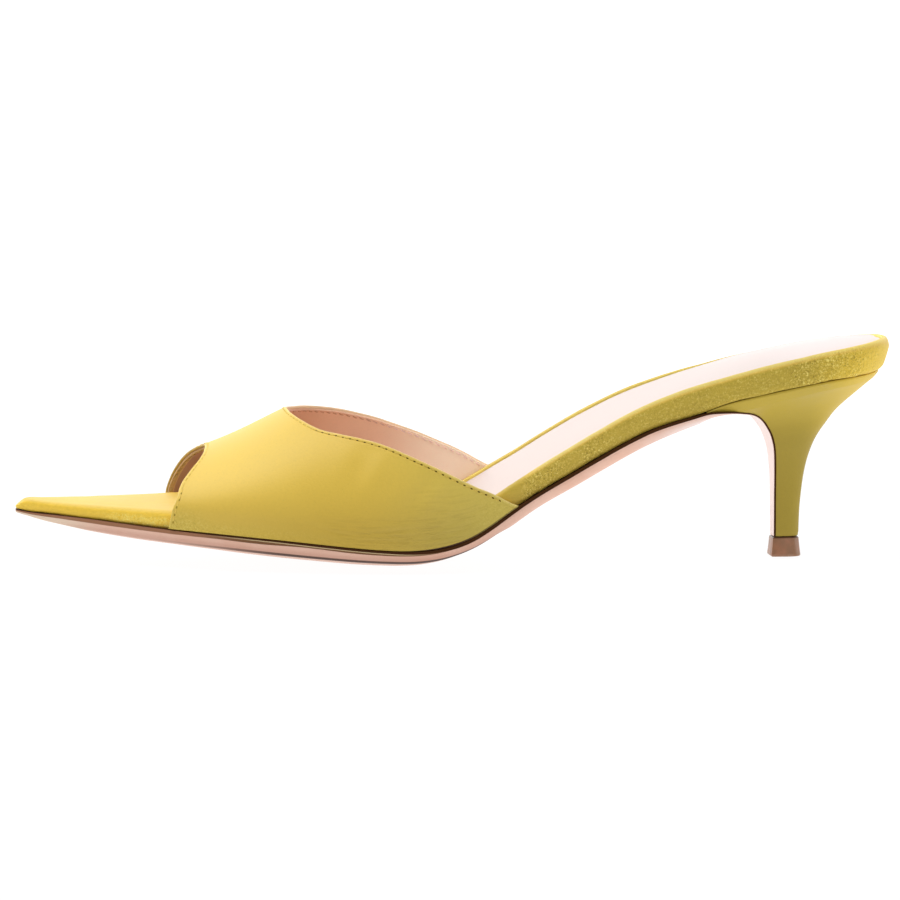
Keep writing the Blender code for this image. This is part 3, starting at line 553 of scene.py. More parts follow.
def leather(name, front, middle, back, roughness, grain_mm=0.55, grain_um=22.0,
            mottle=0.10, nap=False, sheen=0.0, specular=0.42, turns=(-0.075, 0.015, 0.0, 0.095),
            low=None, deep=None, rear=None, flex=False, edge=None, turned=None):
    """Fine leather: a change of tone along the shoe that paints light and shade, soft clouds, pores and creased grain.
    Painted shade below a height (low) or in front of a place (deep), painted light towards the
    heel's back (rear), fine lines where it flexes with painted shade in them, a painted highlight on the folded edge
    with painted shade on it inside the front opening, and the upper leather turned in over the lining (turned),
    darkened as painted shade."""
    look = Look(name, roughness=roughness, specular=specular)
    look.set("Sheen Weight", sheen)
    x = look.axis("X")
    colour = look.mix(look.span(x, turns[0], turns[1]), front, middle)
    colour = look.mix(look.span(x, turns[2], turns[3]), colour, back)
    if low:
        colour = look.times(colour, look.span(look.axis("Z"), low[0], low[1], low[2], 1.0))
    if deep:
        colour = look.times(colour, look.span(x, deep[0], deep[1], deep[2], 1.0))
    if rear:
        colour = look.mix(look.math("MULTIPLY", look.span(x, rear[0], rear[1]), rear[3]), colour, rear[2])
    if turned:
        folded = look.value("turned")
        colour = look.mix(look.span(folded, 0.42, 0.58), colour, turned)
        lip = look.math("MULTIPLY", look.span(folded, 0.10, 0.30), look.span(folded, 0.62, 0.46))
        colour = look.mix(look.math("MULTIPLY", lip, 0.45), colour, srgb(236, 204, 150))
    clouds = look.noise(16.0, 4.0, 0.55, 0.4)
    colour = look.shade(colour, clouds, mottle)
    tint = look.math("MULTIPLY", look.span(look.noise(34.0, 2.0, 0.5), 0.35, 0.7), 0.10)
    colour = look.mix(tint, colour, back)
    fine = look.noise(grain_mm * 1.6, 5.0, 0.65)
    colour = look.shade(colour, fine, 0.10)
    pores = look.span(look.cells(grain_mm * 1.9), 0.0, 0.32)
    colour = look.mix(look.math("MULTIPLY", look.math("SUBTRACT", 1.0, pores), 0.10), colour,
                      tuple(c * 0.55 for c in back[:3]) + (1.0,))
    folds = look.cells(grain_mm * 2.2, "DISTANCE_TO_EDGE")
    grain = look.math("ADD", look.math("MULTIPLY", look.span(folds, 0.0, 0.22), 0.7),
                      look.math("MULTIPLY", fine, 0.5))
    rough = look.math("ADD", look.math("MULTIPLY", fine, 0.16), roughness - 0.08)
    rough = look.math("ADD", rough, look.math("MULTIPLY", look.math("SUBTRACT", clouds, 0.5), 0.10))
    normal = look.bump(grain, grain_um * 0.001, 0.8)
    if flex:
        bent = look.value("flex")
        where = look.node("ShaderNodeCombineXYZ")
        look.put(where.inputs[0], look.math("MULTIPLY", look.value("run"), 0.11))
        look.put(where.inputs[1], look.value("height"))
        lines = look.noise(0.80, 3.0, 0.55, 0.4, place=where.outputs[0])
        # painted shade along the fine crease lines where the upper flexes
        creased = look.span(lines, 0.52, 0.36)
        colour = look.mix(look.math("MULTIPLY", look.math("MULTIPLY", creased, bent), 0.16), colour,
                          srgb(140, 112, 40))
        normal = look.bump(look.math("MULTIPLY", look.span(lines, 0.36, 0.60), bent), 0.055, 1.0, normal)
    if edge:
        # painted highlight on the folded edge; where the edge value is below zero, painted shade on the fold inside the
        # front opening
        colour = look.mix(look.math("MULTIPLY", look.value("edge"), 0.55, clamp=True), colour, edge)
        fold_shade = look.span(look.value("edge"), -0.10, -0.75)
        colour = look.mix(look.math("MULTIPLY", fold_shade, 0.62), colour, srgb(146, 118, 70))
    if nap == "upper":
        # the sole's edge paint laps onto the lowest edge of the upper at the rear, and also stands as painted shadow of
        # the joint there
        colour = look.mix(look.span(look.value("paint"), 0.35, 0.65), colour, srgb(72, 40, 6))
        pale = look.math("MULTIPLY", look.span(look.value("paint"), -0.20, -0.70), 0.85)
        colour = look.mix(pale, colour, srgb(250, 214, 178))
        raised = look.value("nap")
        fuzz = look.noise(0.60, 3.0, 0.72, 0.4)
        colour = look.mix(look.math("MULTIPLY", raised, 0.42), colour, srgb(206, 186, 80))
        lighter = look.math("MULTIPLY", look.span(fuzz, 0.52, 0.64), raised)
        darker = look.math("MULTIPLY", look.span(fuzz, 0.47, 0.36), raised)
        colour = look.mix(look.math("MULTIPLY", lighter, 0.40), colour, srgb(240, 224, 126))
        colour = look.mix(look.math("MULTIPLY", darker, 0.32), colour, srgb(140, 122, 38))
        normal = look.bump(look.math("MULTIPLY", fuzz, raised), 0.15, 1.0, normal)
    if nap == "wrap":
        raised = look.value("nap")
        # painted light: the toe's side faces made lighter and more golden
        colour = look.mix(look.math("MULTIPLY", look.value("flank"), 0.62), colour, srgb(254, 210, 56))
        fuzz = look.noise(0.60, 3.0, 0.75, 0.5)
        patch = look.span(look.noise(3.0, 3.0, 0.6), 0.30, 0.60)
        amount = look.math("MULTIPLY", raised, look.math("ADD", look.math("MULTIPLY", patch, 0.5), 0.5))
        soft = look.math("SUBTRACT", 1.0, look.math("MULTIPLY", look.value("flank"), 0.72))
        lighter = look.span(fuzz, 0.52, 0.64)
        darker = look.math("MULTIPLY", look.span(fuzz, 0.47, 0.36), soft)
        colour = look.mix(look.math("MULTIPLY", look.math("MULTIPLY", lighter, amount), 0.88), colour,
                          srgb(252, 234, 130))
        wide = look.math("MULTIPLY", look.span(look.noise(1.5, 3.0, 0.6, 0.4), 0.36, 0.62), look.value("flank"))
        colour = look.mix(look.math("MULTIPLY", look.math("MULTIPLY", wide, raised), 0.42), colour,
                          srgb(255, 230, 116))
        colour = look.mix(look.math("MULTIPLY", look.math("MULTIPLY", darker, amount), 0.68), colour,
                          srgb(118, 92, 18))
        # brushed streaks between the napped places
        brushed = look.noise(0.7, 4.0, 0.7, 0.3, (0.16, 1.0, 1.0))
        colour = look.shade(colour, brushed, 0.34)
        # painted highlight along the rim's crest, golden on its shoulders
        crest = look.value("crest")
        shoulder = look.math("MULTIPLY", crest, look.math("SUBTRACT", 1.0, crest))
        colour = look.mix(look.math("MULTIPLY", shoulder, 1.7, clamp=True), colour, srgb(240, 190, 62))
        colour = look.mix(look.math("MULTIPLY", crest, 0.45), colour, srgb(255, 232, 140))
        # painted light on the rim's inner wall above the sock
        colour = look.mix(look.math("MULTIPLY", look.value("wall"), 0.88), colour, srgb(255, 232, 122))
        rough = look.math("ADD", rough, look.math("MULTIPLY", raised, 0.12), clamp=True)
        normal = look.bump(brushed, 0.05, 0.8, normal)
        normal = look.bump(look.math("MULTIPLY", look.math("MULTIPLY", fuzz, amount), soft), 0.22, 1.0, normal)
    look.set("Base Color", colour)
    look.set("Roughness", rough)
    look.set("Normal", normal)
    return look


# The upper's tones along the shoe are painted light and shade, lighter at the toe and more olive towards the heel; it
# is darker low down (low) as painted shade, and its folded edge has a painted highlight (edge).
UPPER = leather("upper_leather", srgb(237, 200, 82), srgb(226, 190, 72), srgb(214, 190, 85), 0.50,
                grain_um=16.0, mottle=0.07, sheen=0.05, specular=0.36, turns=(-0.075, -0.03, -0.035, 0.006),
                low=(0.009, 0.028, 0.77), nap="upper", flex=True, edge=srgb(255, 231, 156)).material
# The wrap's tones along the shoe are painted light and shade, and its yellower heel corner (rear) is painted light.
WRAP = leather("wrap_leather", srgb(238, 202, 88), srgb(203, 173, 64), srgb(191, 165, 56), 0.55,
               grain_um=20.0, mottle=0.09, nap="wrap", sheen=0.05, specular=0.36,
               rear=(0.098, 0.125, srgb(244, 206, 62), 0.85)).material
# Darker low on the heel (low) is painted shade, and the yellower back (rear) is painted light.
HEEL_COVER = leather("heel_leather", srgb(210, 180, 66), srgb(200, 172, 62), srgb(194, 168, 58), 0.5,
                     grain_um=14.0, mottle=0.10, sheen=0.02, specular=0.32, low=(0.034, 0.050, 0.74),
                     rear=(0.104, 0.124, srgb(236, 200, 66), 0.8)).material
# The lining is painted dark at the front opening (deep) and light towards its rear as painted shade and light; its
# turned-in band is darkened as painted shade.
LINING_LOOK = leather("lining_leather", srgb(232, 176, 142), srgb(252, 204, 172), srgb(255, 234, 208), 0.55,
                 grain_mm=0.45, grain_um=10.0, mottle=0.06, turns=(-0.055, -0.020, -0.026, 0.002),
                 deep=(-0.074, -0.060, 0.55), turned=srgb(200, 166, 108))
# painted light: a faint glow on the lining towards its rear end stands in for light bounced into the shoe
LINING_LOOK.set("Emission Color", srgb(255, 206, 184))
LINING_LOOK.set("Emission Strength", LINING_LOOK.span(LINING_LOOK.axis("X"), -0.028, 0.004, 0.0, 0.10))
LINING = LINING_LOOK.material
# The sock's paler rear end (rear) is painted light.
SOCK = leather("sock_leather", srgb(246, 226, 212), srgb(217, 201, 194), srgb(220, 206, 201), 0.52,
               grain_mm=0.6, grain_um=12.0, mottle=0.04, turns=(-0.035, 0.004, 0.010, 0.095),
               rear=(0.080, 0.118, srgb(240, 227, 225), 0.6)).material


def sole_look():
    """Outsole: burnished leather with a painted edge in two layers; its dark top line is also painted shadow in the
    joint under the upper, and the leather carries painted shade and reflection.
    """
    look = Look("sole_leather", roughness=0.46, specular=0.13)
    wave = look.math("MULTIPLY", look.math("SUBTRACT", look.noise(5.0, 3.0, 0.6), 0.5), 0.14)
    dark = look.math("ADD", look.value("dark"), wave)
    brown = look.math("ADD", look.value("brown"), wave)
    pink = look.mix(look.span(look.noise(9.0, 5.0, 0.6, 0.5, (0.35, 1.0, 1.0)), 0.35, 0.7),
                    srgb(234, 192, 172), srgb(226, 180, 158))
    along = look.axis("X")
    # painted shade deepens it under the ball, and painted reflection makes it almost white through the waist and down
    # the breast
    pink = look.times(pink, look.span(along, -0.075, -0.030, 1.0, 0.97))
    pink = look.times(pink, look.span(along, 0.010, 0.034, 1.0, 1.12))
    pink = look.mix(look.math("MULTIPLY", look.span(along, -0.104, -0.120), 0.6), pink, srgb(240, 226, 200))
    # painted shade where the edge turns under: darker downwards, and most at its lowest part under the ball
    ball = look.math("MULTIPLY", look.span(along, -0.100, -0.050), look.span(along, 0.014, -0.004))
    shaded = look.math("MULTIPLY", look.span(look.value("lowness"), 1.8, 4.1, 0.0, 0.32), look.span(along, 0.018, -0.004))
    under = look.math("MULTIPLY", look.span(look.value("lowness"), 4.0, 4.6, 0.0, 0.90), ball)
    pink = look.mix(shaded, pink, srgb(140, 70, 46))
    pink = look.mix(under, pink, srgb(40, 20, 12))
    # painted reflection whitening the rear of the waist and the breast, more so further down the edge
    pale = look.math("MULTIPLY", look.span(along, 0.046, 0.076), look.span(look.value("depth"), 1.1, 3.2, 0.30, 0.80))
    pink = look.mix(pale, pink, srgb(255, 244, 242))
    streak = look.noise(1.1, 5.0, 0.7, 0.3, (0.12, 1.0, 1.0))
    pink = look.shade(pink, streak, 0.10)
    under = look.math("MULTIPLY", look.span(look.axis("Z"), 0.0035, 0.0),
                      look.span(look.noise(3.0, 6.0, 0.75), 0.42, 0.68))
    pink = look.mix(look.math("MULTIPLY", under, 0.40), pink, srgb(150, 118, 100))
    # the brown band painted lighter towards the toe, where light falls on it
    band = look.mix(look.span(along, -0.080, -0.066), srgb(158, 112, 84), srgb(122, 86, 58))
    band = look.shade(band, streak, 0.22)
    # the dark top line is edge paint and also painted shadow in the joint under the upper
    line = look.shade(srgb(66, 34, 4), streak, 0.30)
    colour = look.mix(look.span(brown, -0.08, 0.10), band, pink)
    pale = look.math("MULTIPLY", look.span(along, -0.078, -0.060), look.span(along, -0.008, -0.022))
    pale = look.math("MULTIPLY", pale, look.math("MULTIPLY", look.span(dark, -0.02, 0.05), look.span(dark, 0.34, 0.22)))
    colour = look.mix(look.math("MULTIPLY", pale, 0.78), colour, srgb(212, 190, 146))
    colour = look.mix(look.span(dark, -0.07, 0.07), line, colour)
    look.set("Base Color", colour)
    fine = look.noise(0.5, 5.0, 0.65)
    rough = look.math("ADD", look.math("MULTIPLY", fine, 0.22), 0.30)
    look.set("Roughness", look.math("ADD", rough, look.span(dark, 0.1, -0.1, 0.0, 0.25)))
    pores = look.span(look.cells(0.8), 0.0, 0.30)
    grain = look.math("ADD", look.math("MULTIPLY", pores, 0.5), look.math("MULTIPLY", streak, 0.6))
    look.set("Normal", look.bump(grain, 0.015, 0.8))
    return look.material


def rubber_look():
    """Top piece: brown rubber, scuffed towards the ground."""
    look = Look("top_piece_rubber", roughness=0.34, specular=0.5)
    speck = look.noise(0.45, 4.0, 0.7)
    colour = look.mix(look.span(look.noise(3.0, 3.0, 0.5), 0.35, 0.7), srgb(150, 108, 78), srgb(168, 115, 84))
    colour = look.shade(colour, speck, 0.16)
    wear_and_edge_light = look.math("MULTIPLY", look.span(look.axis("Z"), 0.0011, 0.0),
                     look.span(look.noise(0.9, 5.0, 0.7), 0.40, 0.62))
    colour = look.mix(look.math("MULTIPLY", wear_and_edge_light, 0.55), colour, srgb(182, 150, 126))
    top = look.span(look.axis("Z"), 0.00545, 0.0057)
    colour = look.mix(look.math("MULTIPLY", top, 0.75), colour, srgb(70, 42, 26))
    look.set("Base Color", colour)
    look.set("Roughness", look.math("ADD", look.math("MULTIPLY", speck, 0.16), 0.24))
    look.set("Normal", look.bump(speck, 0.02, 0.7))
    return look.material


def thread_look(name, colour, middle=None, front=None):
    """Twisted sewing thread, its colour changing from the top of the throat forwards to carry the painted light and
    shade of the leather it lies on.
    """
    look = Look(name, roughness=0.6, specular=0.3)
    if front:
        colour = look.mix(look.span(look.axis("X"), -0.010, -0.028), colour, middle)
        colour = look.mix(look.span(look.axis("X"), -0.058, -0.064), colour, front)
    twist = look.node("ShaderNodeTexWave", wave_type="BANDS", bands_direction="DIAGONAL")
    twist.inputs["Scale"].default_value = 1000.0 / 0.9
    twist.inputs["Distortion"].default_value = 0.6
    look.put(twist.inputs["Vector"], look.place)
    strand = twist.outputs["Fac"]
    base = look.shade(colour, strand, 0.22)
    look.set("Base Color", look.shade(base, look.noise(3.0, 3.0, 0.6), 0.18))
    look.set("Normal", look.bump(strand, 0.04, 0.8))
    return look.material


def hole_look():
    """Needle holes: dark discs that paint the shade in each prick in the leather."""
    look = Look("needle_holes", roughness=0.8, specular=0.1)
    # round the top of both edges the holes take the colour of the sunlit leather around them, as painted light, and are
    # hardly seen
    front = look.span(look.axis("X"), -0.058, -0.062)
    hidden_in_light = look.math("ADD", look.math("MULTIPLY", front, look.span(look.axis("Z"), 0.0222, 0.0246)),
                      look.math("MULTIPLY", look.math("SUBTRACT", 1.0, front),
                                look.span(look.axis("X"), -0.0415, -0.0465)), clamp=True)
    colour = look.mix(front, srgb(92, 68, 16), srgb(164, 138, 52))
    colour = look.mix(look.math("MULTIPLY", hidden_in_light, 0.94), colour, srgb(250, 222, 118))
    look.set("Base Color", look.shade(colour, look.noise(0.8, 3.0, 0.6), 0.4))
    look.set("Normal", look.bump(look.noise(0.3, 3.0, 0.6), 0.03, 0.8))
    return look.material


OUTSOLE = sole_look()
RUBBER = rubber_look()
THREAD_YELLOW = thread_look("thread_yellow", srgb(212, 184, 84), srgb(216, 188, 84), srgb(238, 206, 100))
THREAD_PINK = thread_look("thread_pink", srgb(252, 222, 210), srgb(214, 158, 126), srgb(190, 158, 102))
HOLES = hole_look()


# ---- footbed ----------------------------------------------------------------------------------
def sock_front(y):
    return SOCK_FRONT + 4.0 * (y / 22.0) ** 2


def nap_at(t, height):
    """Where the wrap's nap stands up: by place along the shoe and height on the edge."""
    spots = (ease(t, 146, 150) * ease(t, 164, 158)
             + 0.8 * ease(t, 163, 167) * ease(t, 180, 171)
             + 0.35 * ease(t, 176, 186) * ease(t, 222, 206)
             + ease(t, 224, 232) * ease(t, 256, 248)
             + 1.0 * ease(t, 22, 31) * ease(t, 50, 47) * ease(height, 0.72, 0.45))
    spots = np.maximum(spots, 0.45 * ease(t, 146, 151) * ease(t, 261, 255))
    return np.clip(spots, 0, 1) * ease(height, 1.06, 0.85)


def make_footbed():
    count = 640
    skin = Skin()
    loop, inward = outline(count)
    knots = table("tucked inset height", [
        (1.0, 0.0, 0.0), (0.55, 0.0, 0.10), (0.2, 0.0, 0.35), (0.0, 0.0, 0.66),
        (0.0, 0.35, 0.86), (0.0, 1.0, 0.965), (0.0, 1.7, 1.0),
    ])
    u = np.concatenate([np.linspace(0, 3, 15), np.linspace(3, 6, 12)[1:]])
    column = {k: smooth(np.arange(7.0), v)(u) for k, v in knots.items()}
    # walls, crests and flanks mark where the wrap is given painted light: its inner wall above the sock, its crest and
    # the toe's sides
    rings, naps, walls, crests, flanks = [], [], [], [], []
    for tucked, inset, height in zip(column["tucked"], column["inset"], column["height"]):
        # the wrap leans in sooner round the back of the heel
        behind = ease(loop[:, 0], 246, 258)
        turned_in = max(tucked, 0.0) ** (1 - 0.2 * behind) * (1 - 0.1 * behind)
        d = (turned_in * _tuck(loop[:, 0]) + inset * near_toe(loop[:, 0]))[:, None]
        p = loop + inward * d
        low = sole_line(p[:, 0], p[:, 1])
        z = low + (rim_line(p[:, 0], p[:, 1]) - low) * height
        rings.append(np.c_[p, z])
        naps.append(nap_at(p[:, 0], height))
        walls.append(np.zeros(len(z)))
        crests.append(np.full(len(z), float(ease(height, 0.80, 0.95))) * ease(p[:, 0], 146, 156))
        flanks.append(float(ease(height, 0.98, 0.72)) * ease(p[:, 0], 62, 50))
    d = (SOCK_INSET - 0.15) * near_toe(loop[:, 0])[:, None]
    wall = loop + inward * d
    y = wall[:, 1]
    lip_t = np.maximum(wall[:, 0], sock_front(y) - 0.15)
    crest = rings[-1]
    for share in np.linspace(0, 1, 15)[1:]:
        t = crest[:, 0] + (lip_t - crest[:, 0]) * share
        yy = crest[:, 1] + (y - crest[:, 1]) * share
        crown = 0.35 * np.clip(1 - across(t, yy) ** 2, 0, 1) * (lip_t > wall[:, 0]) * np.clip(share * 3, 0, 1)
        drop = 0.16 * share ** 4
        rings.append(np.c_[t, yy, rim_line(t, yy) + crown - drop])
        naps.append(np.zeros(len(t)))
        walls.append(np.full(len(t), float(ease(share, 0.75, 1.0))) * ease(t, 120, 135))
        crests.append(np.full(len(t), 1.0 - share) * ease(t, 146, 156))
        flanks.append(np.zeros(len(t)))
    wall = loop + inward * (SOCK_INSET * near_toe(loop[:, 0]))[:, None]
    y = wall[:, 1]
    floor_t = np.maximum(wall[:, 0], sock_front(y))

    def floor(t, y):
        return rim_line(t, y) - RIM_PROUD - SOCK_THICK - GAP

    for share in (0.12, 0.35, 1.0):
        z = (rim_line(floor_t, y) - 0.18) * (1 - share) + floor(floor_t, y) * share
        rings.append(np.c_[floor_t - 0.1 * (1 - share), y, z])
        naps.append(np.zeros(len(y)))
        walls.append(ease(floor_t, 120, 135))
        crests.append(np.zeros(len(y)))
        flanks.append(np.zeros(len(y)))
    side = np.array(rings)
    skin.grid(side, round_columns=True, nap=np.array(naps), wall=np.array(walls), crest=np.array(crests),
              flank=np.array(flanks))
    skin.grid(lid(side[0], count, 10, sole_line), nap=0.0, wall=0.0, crest=0.0, flank=0.0)
    skin.grid(lid(side[-1], count, 8, floor), nap=0.0, wall=0.0, crest=0.0, flank=0.0)

    def roughen(p, n):
        t = p[:, 0]
        wrap = ease(t, 258, 240) * 0.4 + 0.6
        soft = 0.10 * cloud(p, 14.0, 3) * wrap + 0.035 * cloud(p, 4.0, 7)
        rim = (p[:, 2] - sole_line(t, p[:, 1])) / np.maximum(rim_line(t, p[:, 1]) - sole_line(t, p[:, 1]), 0.5)
        nap = nap_at(t, np.clip(rim, 0, 1))
        soft += nap * (0.075 * lattice(p, 1.3, 17) + 0.05 * lattice(p, 0.7, 23))
        pull = 0.05 * np.sin(t / 2.3 + 1.5 * lattice(p, 9.0, 29)) * ease(rim, 0.35, 0.0)
        keep = np.clip((np.minimum(t, LENGTH - t)) / 1.5, 0, 1)
        return (soft - 0.07 + pull) * keep

    return skin.make("footbed_wrap", WRAP, roughen)


# ---- sock lining --------------------------------------------------------------------------------
def sock_top(t, y):
    pad = 0.35 + 1.65 * ease(t, 188.0, 222.0) * np.clip((t - 188.0) / 34.0, 0, 1)
    behind = np.clip((t - (LENGTH - 26.0)) / 23.0, 0, 1)
    e = np.clip(across(t, y) ** 2 / 0.81 + behind ** 2.5, 0, 1)
    # the inner side's edge is pressed down a little through the waist
    dip = 0.4 * ease(across(t, y), 0.66, 0.88) * ease(t, 112, 138) * ease(t, 206, 182)
    corner = ease(t, 244, 254)
    over = across(t, y)
    swell = 0.75 * np.clip((over - 0.60 + 0.40 * corner) / (0.26 + 0.06 * corner), 0, 1) * ease(t, 194, 232)
    return rim_line(t, y) - RIM_PROUD + pad * (1 - e) - dip + swell


def make_sock():
    count = 420
    skin = Skin()
    loop, inward = outline(count)
    rings = []
    for extra, level, sink in ((0.0, 0.0, 0), (0.0, 0.35, 0), (0.0, 0.68, 0), (0.03, 0.84, 0),
                               (0.12, 0.95, 0), (0.28, 1.0, 0.02), (0.5, 1.0, 0.0)):
        inset = (SOCK_INSET + GAP * 0.6 + extra) * near_toe(loop[:, 0])[:, None]
        p = loop + inward * inset
        y = p[:, 1]
        t = np.maximum(p[:, 0], sock_front(y) + GAP * 0.6 + extra)
        low = rim_line(t, y) - RIM_PROUD - SOCK_THICK
        high = sock_top(t, y)
        rings.append(np.c_[t, y, low + (high - low) * level - sink])
    side = np.array(rings)
    skin.grid(side, round_columns=True)
    skin.grid(lid(side[0], count, 6, lambda t, y: rim_line(t, y) - RIM_PROUD - SOCK_THICK))
    skin.grid(lid(side[-1], count, 56, sock_top))

    def roughen(p, n):
        up = np.clip(n[:, 2], 0, 1)
        inside = ease(1 - np.abs(across(p[:, 0], p[:, 1])), 0.06, 0.25)
        return (0.14 * cloud(p, 26.0, 41) + 0.04 * cloud(p, 7.0, 43)) * up * inside - 0.02

    return skin.make("sock_lining_leather", SOCK, roughen)


# ---- outsole --------------------------------------------------------------------------------------
def sole_path():
    t = np.concatenate([np.arange(0, 198, 6.0), BREAST["t"]])
    z = np.concatenate([_bottom(np.arange(0, 198, 6.0)) - GAP, BREAST["z"]])
    s = np.concatenate([[0], np.cumsum(np.hypot(np.diff(t), np.diff(z)))])
    return s, spline(s, t), spline(s, z)


_path_s, _path_t, _path_z = sole_path()
_breast_s = _path_s[-len(BREAST["t"]):]
_breast_lateral = smooth(_breast_s, BREAST["lateral"])
_breast_medial = smooth(_breast_s, BREAST["medial"])
_breast_thick = smooth(_breast_s, BREAST["thick"])


def sole_half(s, side):
    t = _path_t(s)
    plain = half_width(t, side, _proud(t))
    wing = (_breast_lateral if side < 0 else _breast_medial)(s)
    return np.where(s <= _breast_s[0], plain, wing)


def sole_thick(s):
    return np.where(s <= _breast_s[0], _thick(_path_t(s)), _breast_thick(s))


def sole_point(s, y, depth):
    t, z = _path_t(s), _path_z(s)
    dt, dz = _path_t(s + 0.05) - _path_t(s - 0.05), _path_z(s + 0.05) - _path_z(s - 0.05)
    size = np.hypot(dt, dz)
    dt, dz = dt / size, dz / size
    half = np.where(y < 0, sole_half(s, -1), sole_half(s, 1))
    e = np.clip(np.abs(y) / np.maximum(half, 0.5), 0, 1)
    flat = s <= _breast_s[0]
    fade = np.clip((_breast_s[0] + 12 - s) / 12, 0, 1)
    sag = np.where(flat, _camber(t), 0.1 * fade)
    up = _rise(t) * np.where(flat, 1.0, fade) * (np.clip(y / np.maximum(half, 0.5), -1, 1) + 1) / 2
    return np.stack([t + dz * depth, y, z + up - sag * (1 - e ** 3) - dt * depth], -1)


def make_outsole():
    steps = 26
    end, bend = _path_s[-1], _breast_s[0]
    s = np.concatenate([
        60 * (1 - np.cos(np.linspace(0, math.pi / 2, 90))),
        np.linspace(60, bend, 170)[1:],
        np.linspace(bend, bend + 38, 110)[1:],
        np.linspace(bend + 38, end, 40)[1:],
    ])
    n = len(s)
    near = np.c_[s, -sole_half(s, -1)]
    far = np.c_[s, sole_half(s, 1)]
    near[0, 1] = far[0, 1] = 0
    cross = np.linspace(-1, 1, steps + 1)[1:-1]
    tail = np.c_[np.full(steps - 1, s[-1]),
                 np.where(cross < 0, -cross * near[-1, 1], cross * far[-1, 1])]
    loop = np.vstack([near, tail, far[:0:-1]])
    tangent = np.roll(loop, -1, 0) - np.roll(loop, 1, 0)
    tangent /= np.linalg.norm(tangent, axis=1)[:, None]
    inward = np.c_[-tangent[:, 1], tangent[:, 0]]
    inward[n - 1:n + steps] = [(0, 0)] * (steps + 1)
    inward[n - 1] = (0, 1)
    inward[n + steps - 1] = (0, -1)
    knots = table("inset depth", [
        (0.12, 0.0), (0.0, 0.05), (0.0, 0.34), (0.18, 0.58), (0.52, 0.82), (1.0, 0.97),
    ])
    u = np.linspace(0, 5, 19)
    inset_at, depth_at = smooth(np.arange(6.0), knots["inset"])(u), smooth(np.arange(6.0), knots["depth"])(u)
    thick = sole_thick(loop[:, 0])
    bevel = 2.4 * np.clip((thick - 0.4) / 2.8, 0.06, 1) * np.clip(0.3 + 0.7 * loop[:, 0] / 20, 0.3, 1)
    place = _path_t(loop[:, 0])
    rings = []
    for inset, depth in zip(inset_at, depth_at):
        p = loop + inward * (inset * bevel)[:, None]
        point = sole_point(p[:, 0], p[:, 1], depth * thick - 0.18)
        point[:, 2] = np.maximum(point[:, 2], 0.0)
        rings.append(point)
    side = np.array(rings)
    run = np.concatenate([np.zeros((1, len(loop))),
                          np.cumsum(np.linalg.norm(np.diff(side, axis=0), axis=2), axis=0)])
    dark, brown = run - _dark(place), run - _brown(place)
    lowness = run + np.clip(3.85 - thick, 0, 0.9) * ease(place, 60, 85)
    skin = Skin()
    skin.grid(side, round_columns=True, dark=dark, brown=brown, depth=run, lowness=lowness)

    def face(ring, inset, depth):
        size = len(loop)
        p = loop + inward * (inset * bevel)[:, None]
        a, b = p[:n], p[(size - np.arange(n)) % size]
        w = np.linspace(0, 1, steps + 1)[None, :, None]
        q = a[:, None] * (1 - w) + b[:, None] * w
        out = sole_point(q[..., 0], q[..., 1], depth * sole_thick(q[..., 0]) - 0.18)
        out[..., 2] = np.maximum(out[..., 2], 0.0)
        out[0] = ring[0]
        out[:, 0] = ring[:n]
        out[:, -1] = ring[(size - np.arange(n)) % size]
        out[-1] = ring[n - 1:n + steps]
        return out

    skin.grid(face(side[0], inset_at[0], 0.0), dark=-1.0, brown=-1.0, depth=0.0, lowness=0.0)
    skin.grid(face(side[-1], 1.0, 0.97), dark=3.0, brown=3.0, depth=4.0, lowness=2.4)

    def roughen(p, n):
        off_floor = ease(p[:, 2], 0.05, 0.6)
        return (0.05 * cloud(p, 22.0, 51) + 0.015 * cloud(p, 3.0, 53)) * off_floor

    return skin.make("outsole_leather", OUTSOLE, roughen, sharp=60)


# ---- heel and top piece ------------------------------------------------------------------------------
def heel_seat_curve(count):
    loop, inward = outline(700)
    p = loop + inward * (_tuck(loop[:, 0]) + 0.1)[:, None]
    half = p[:len(loop) // 2 + 1]
    half = half[half[:, 0] >= HEEL_FRONT]
    medial = p[len(loop) // 2:]
    medial = medial[medial[:, 0] >= HEEL_FRONT]

    def walk(q):
        s = np.concatenate([[0], np.cumsum(np.hypot(*np.diff(q, axis=0).T))])
        u = np.linspace(0, s[-1], count // 2 + 1)
        return np.c_[np.interp(u, s, q[:, 0]), np.interp(u, s, q[:, 1])]

    return walk(half), walk(medial)


def breast_at(z):
    s = np.linspace(_breast_s[3], _path_s[-1], 1200)
    return np.interp(-z, -_path_z(s), s)


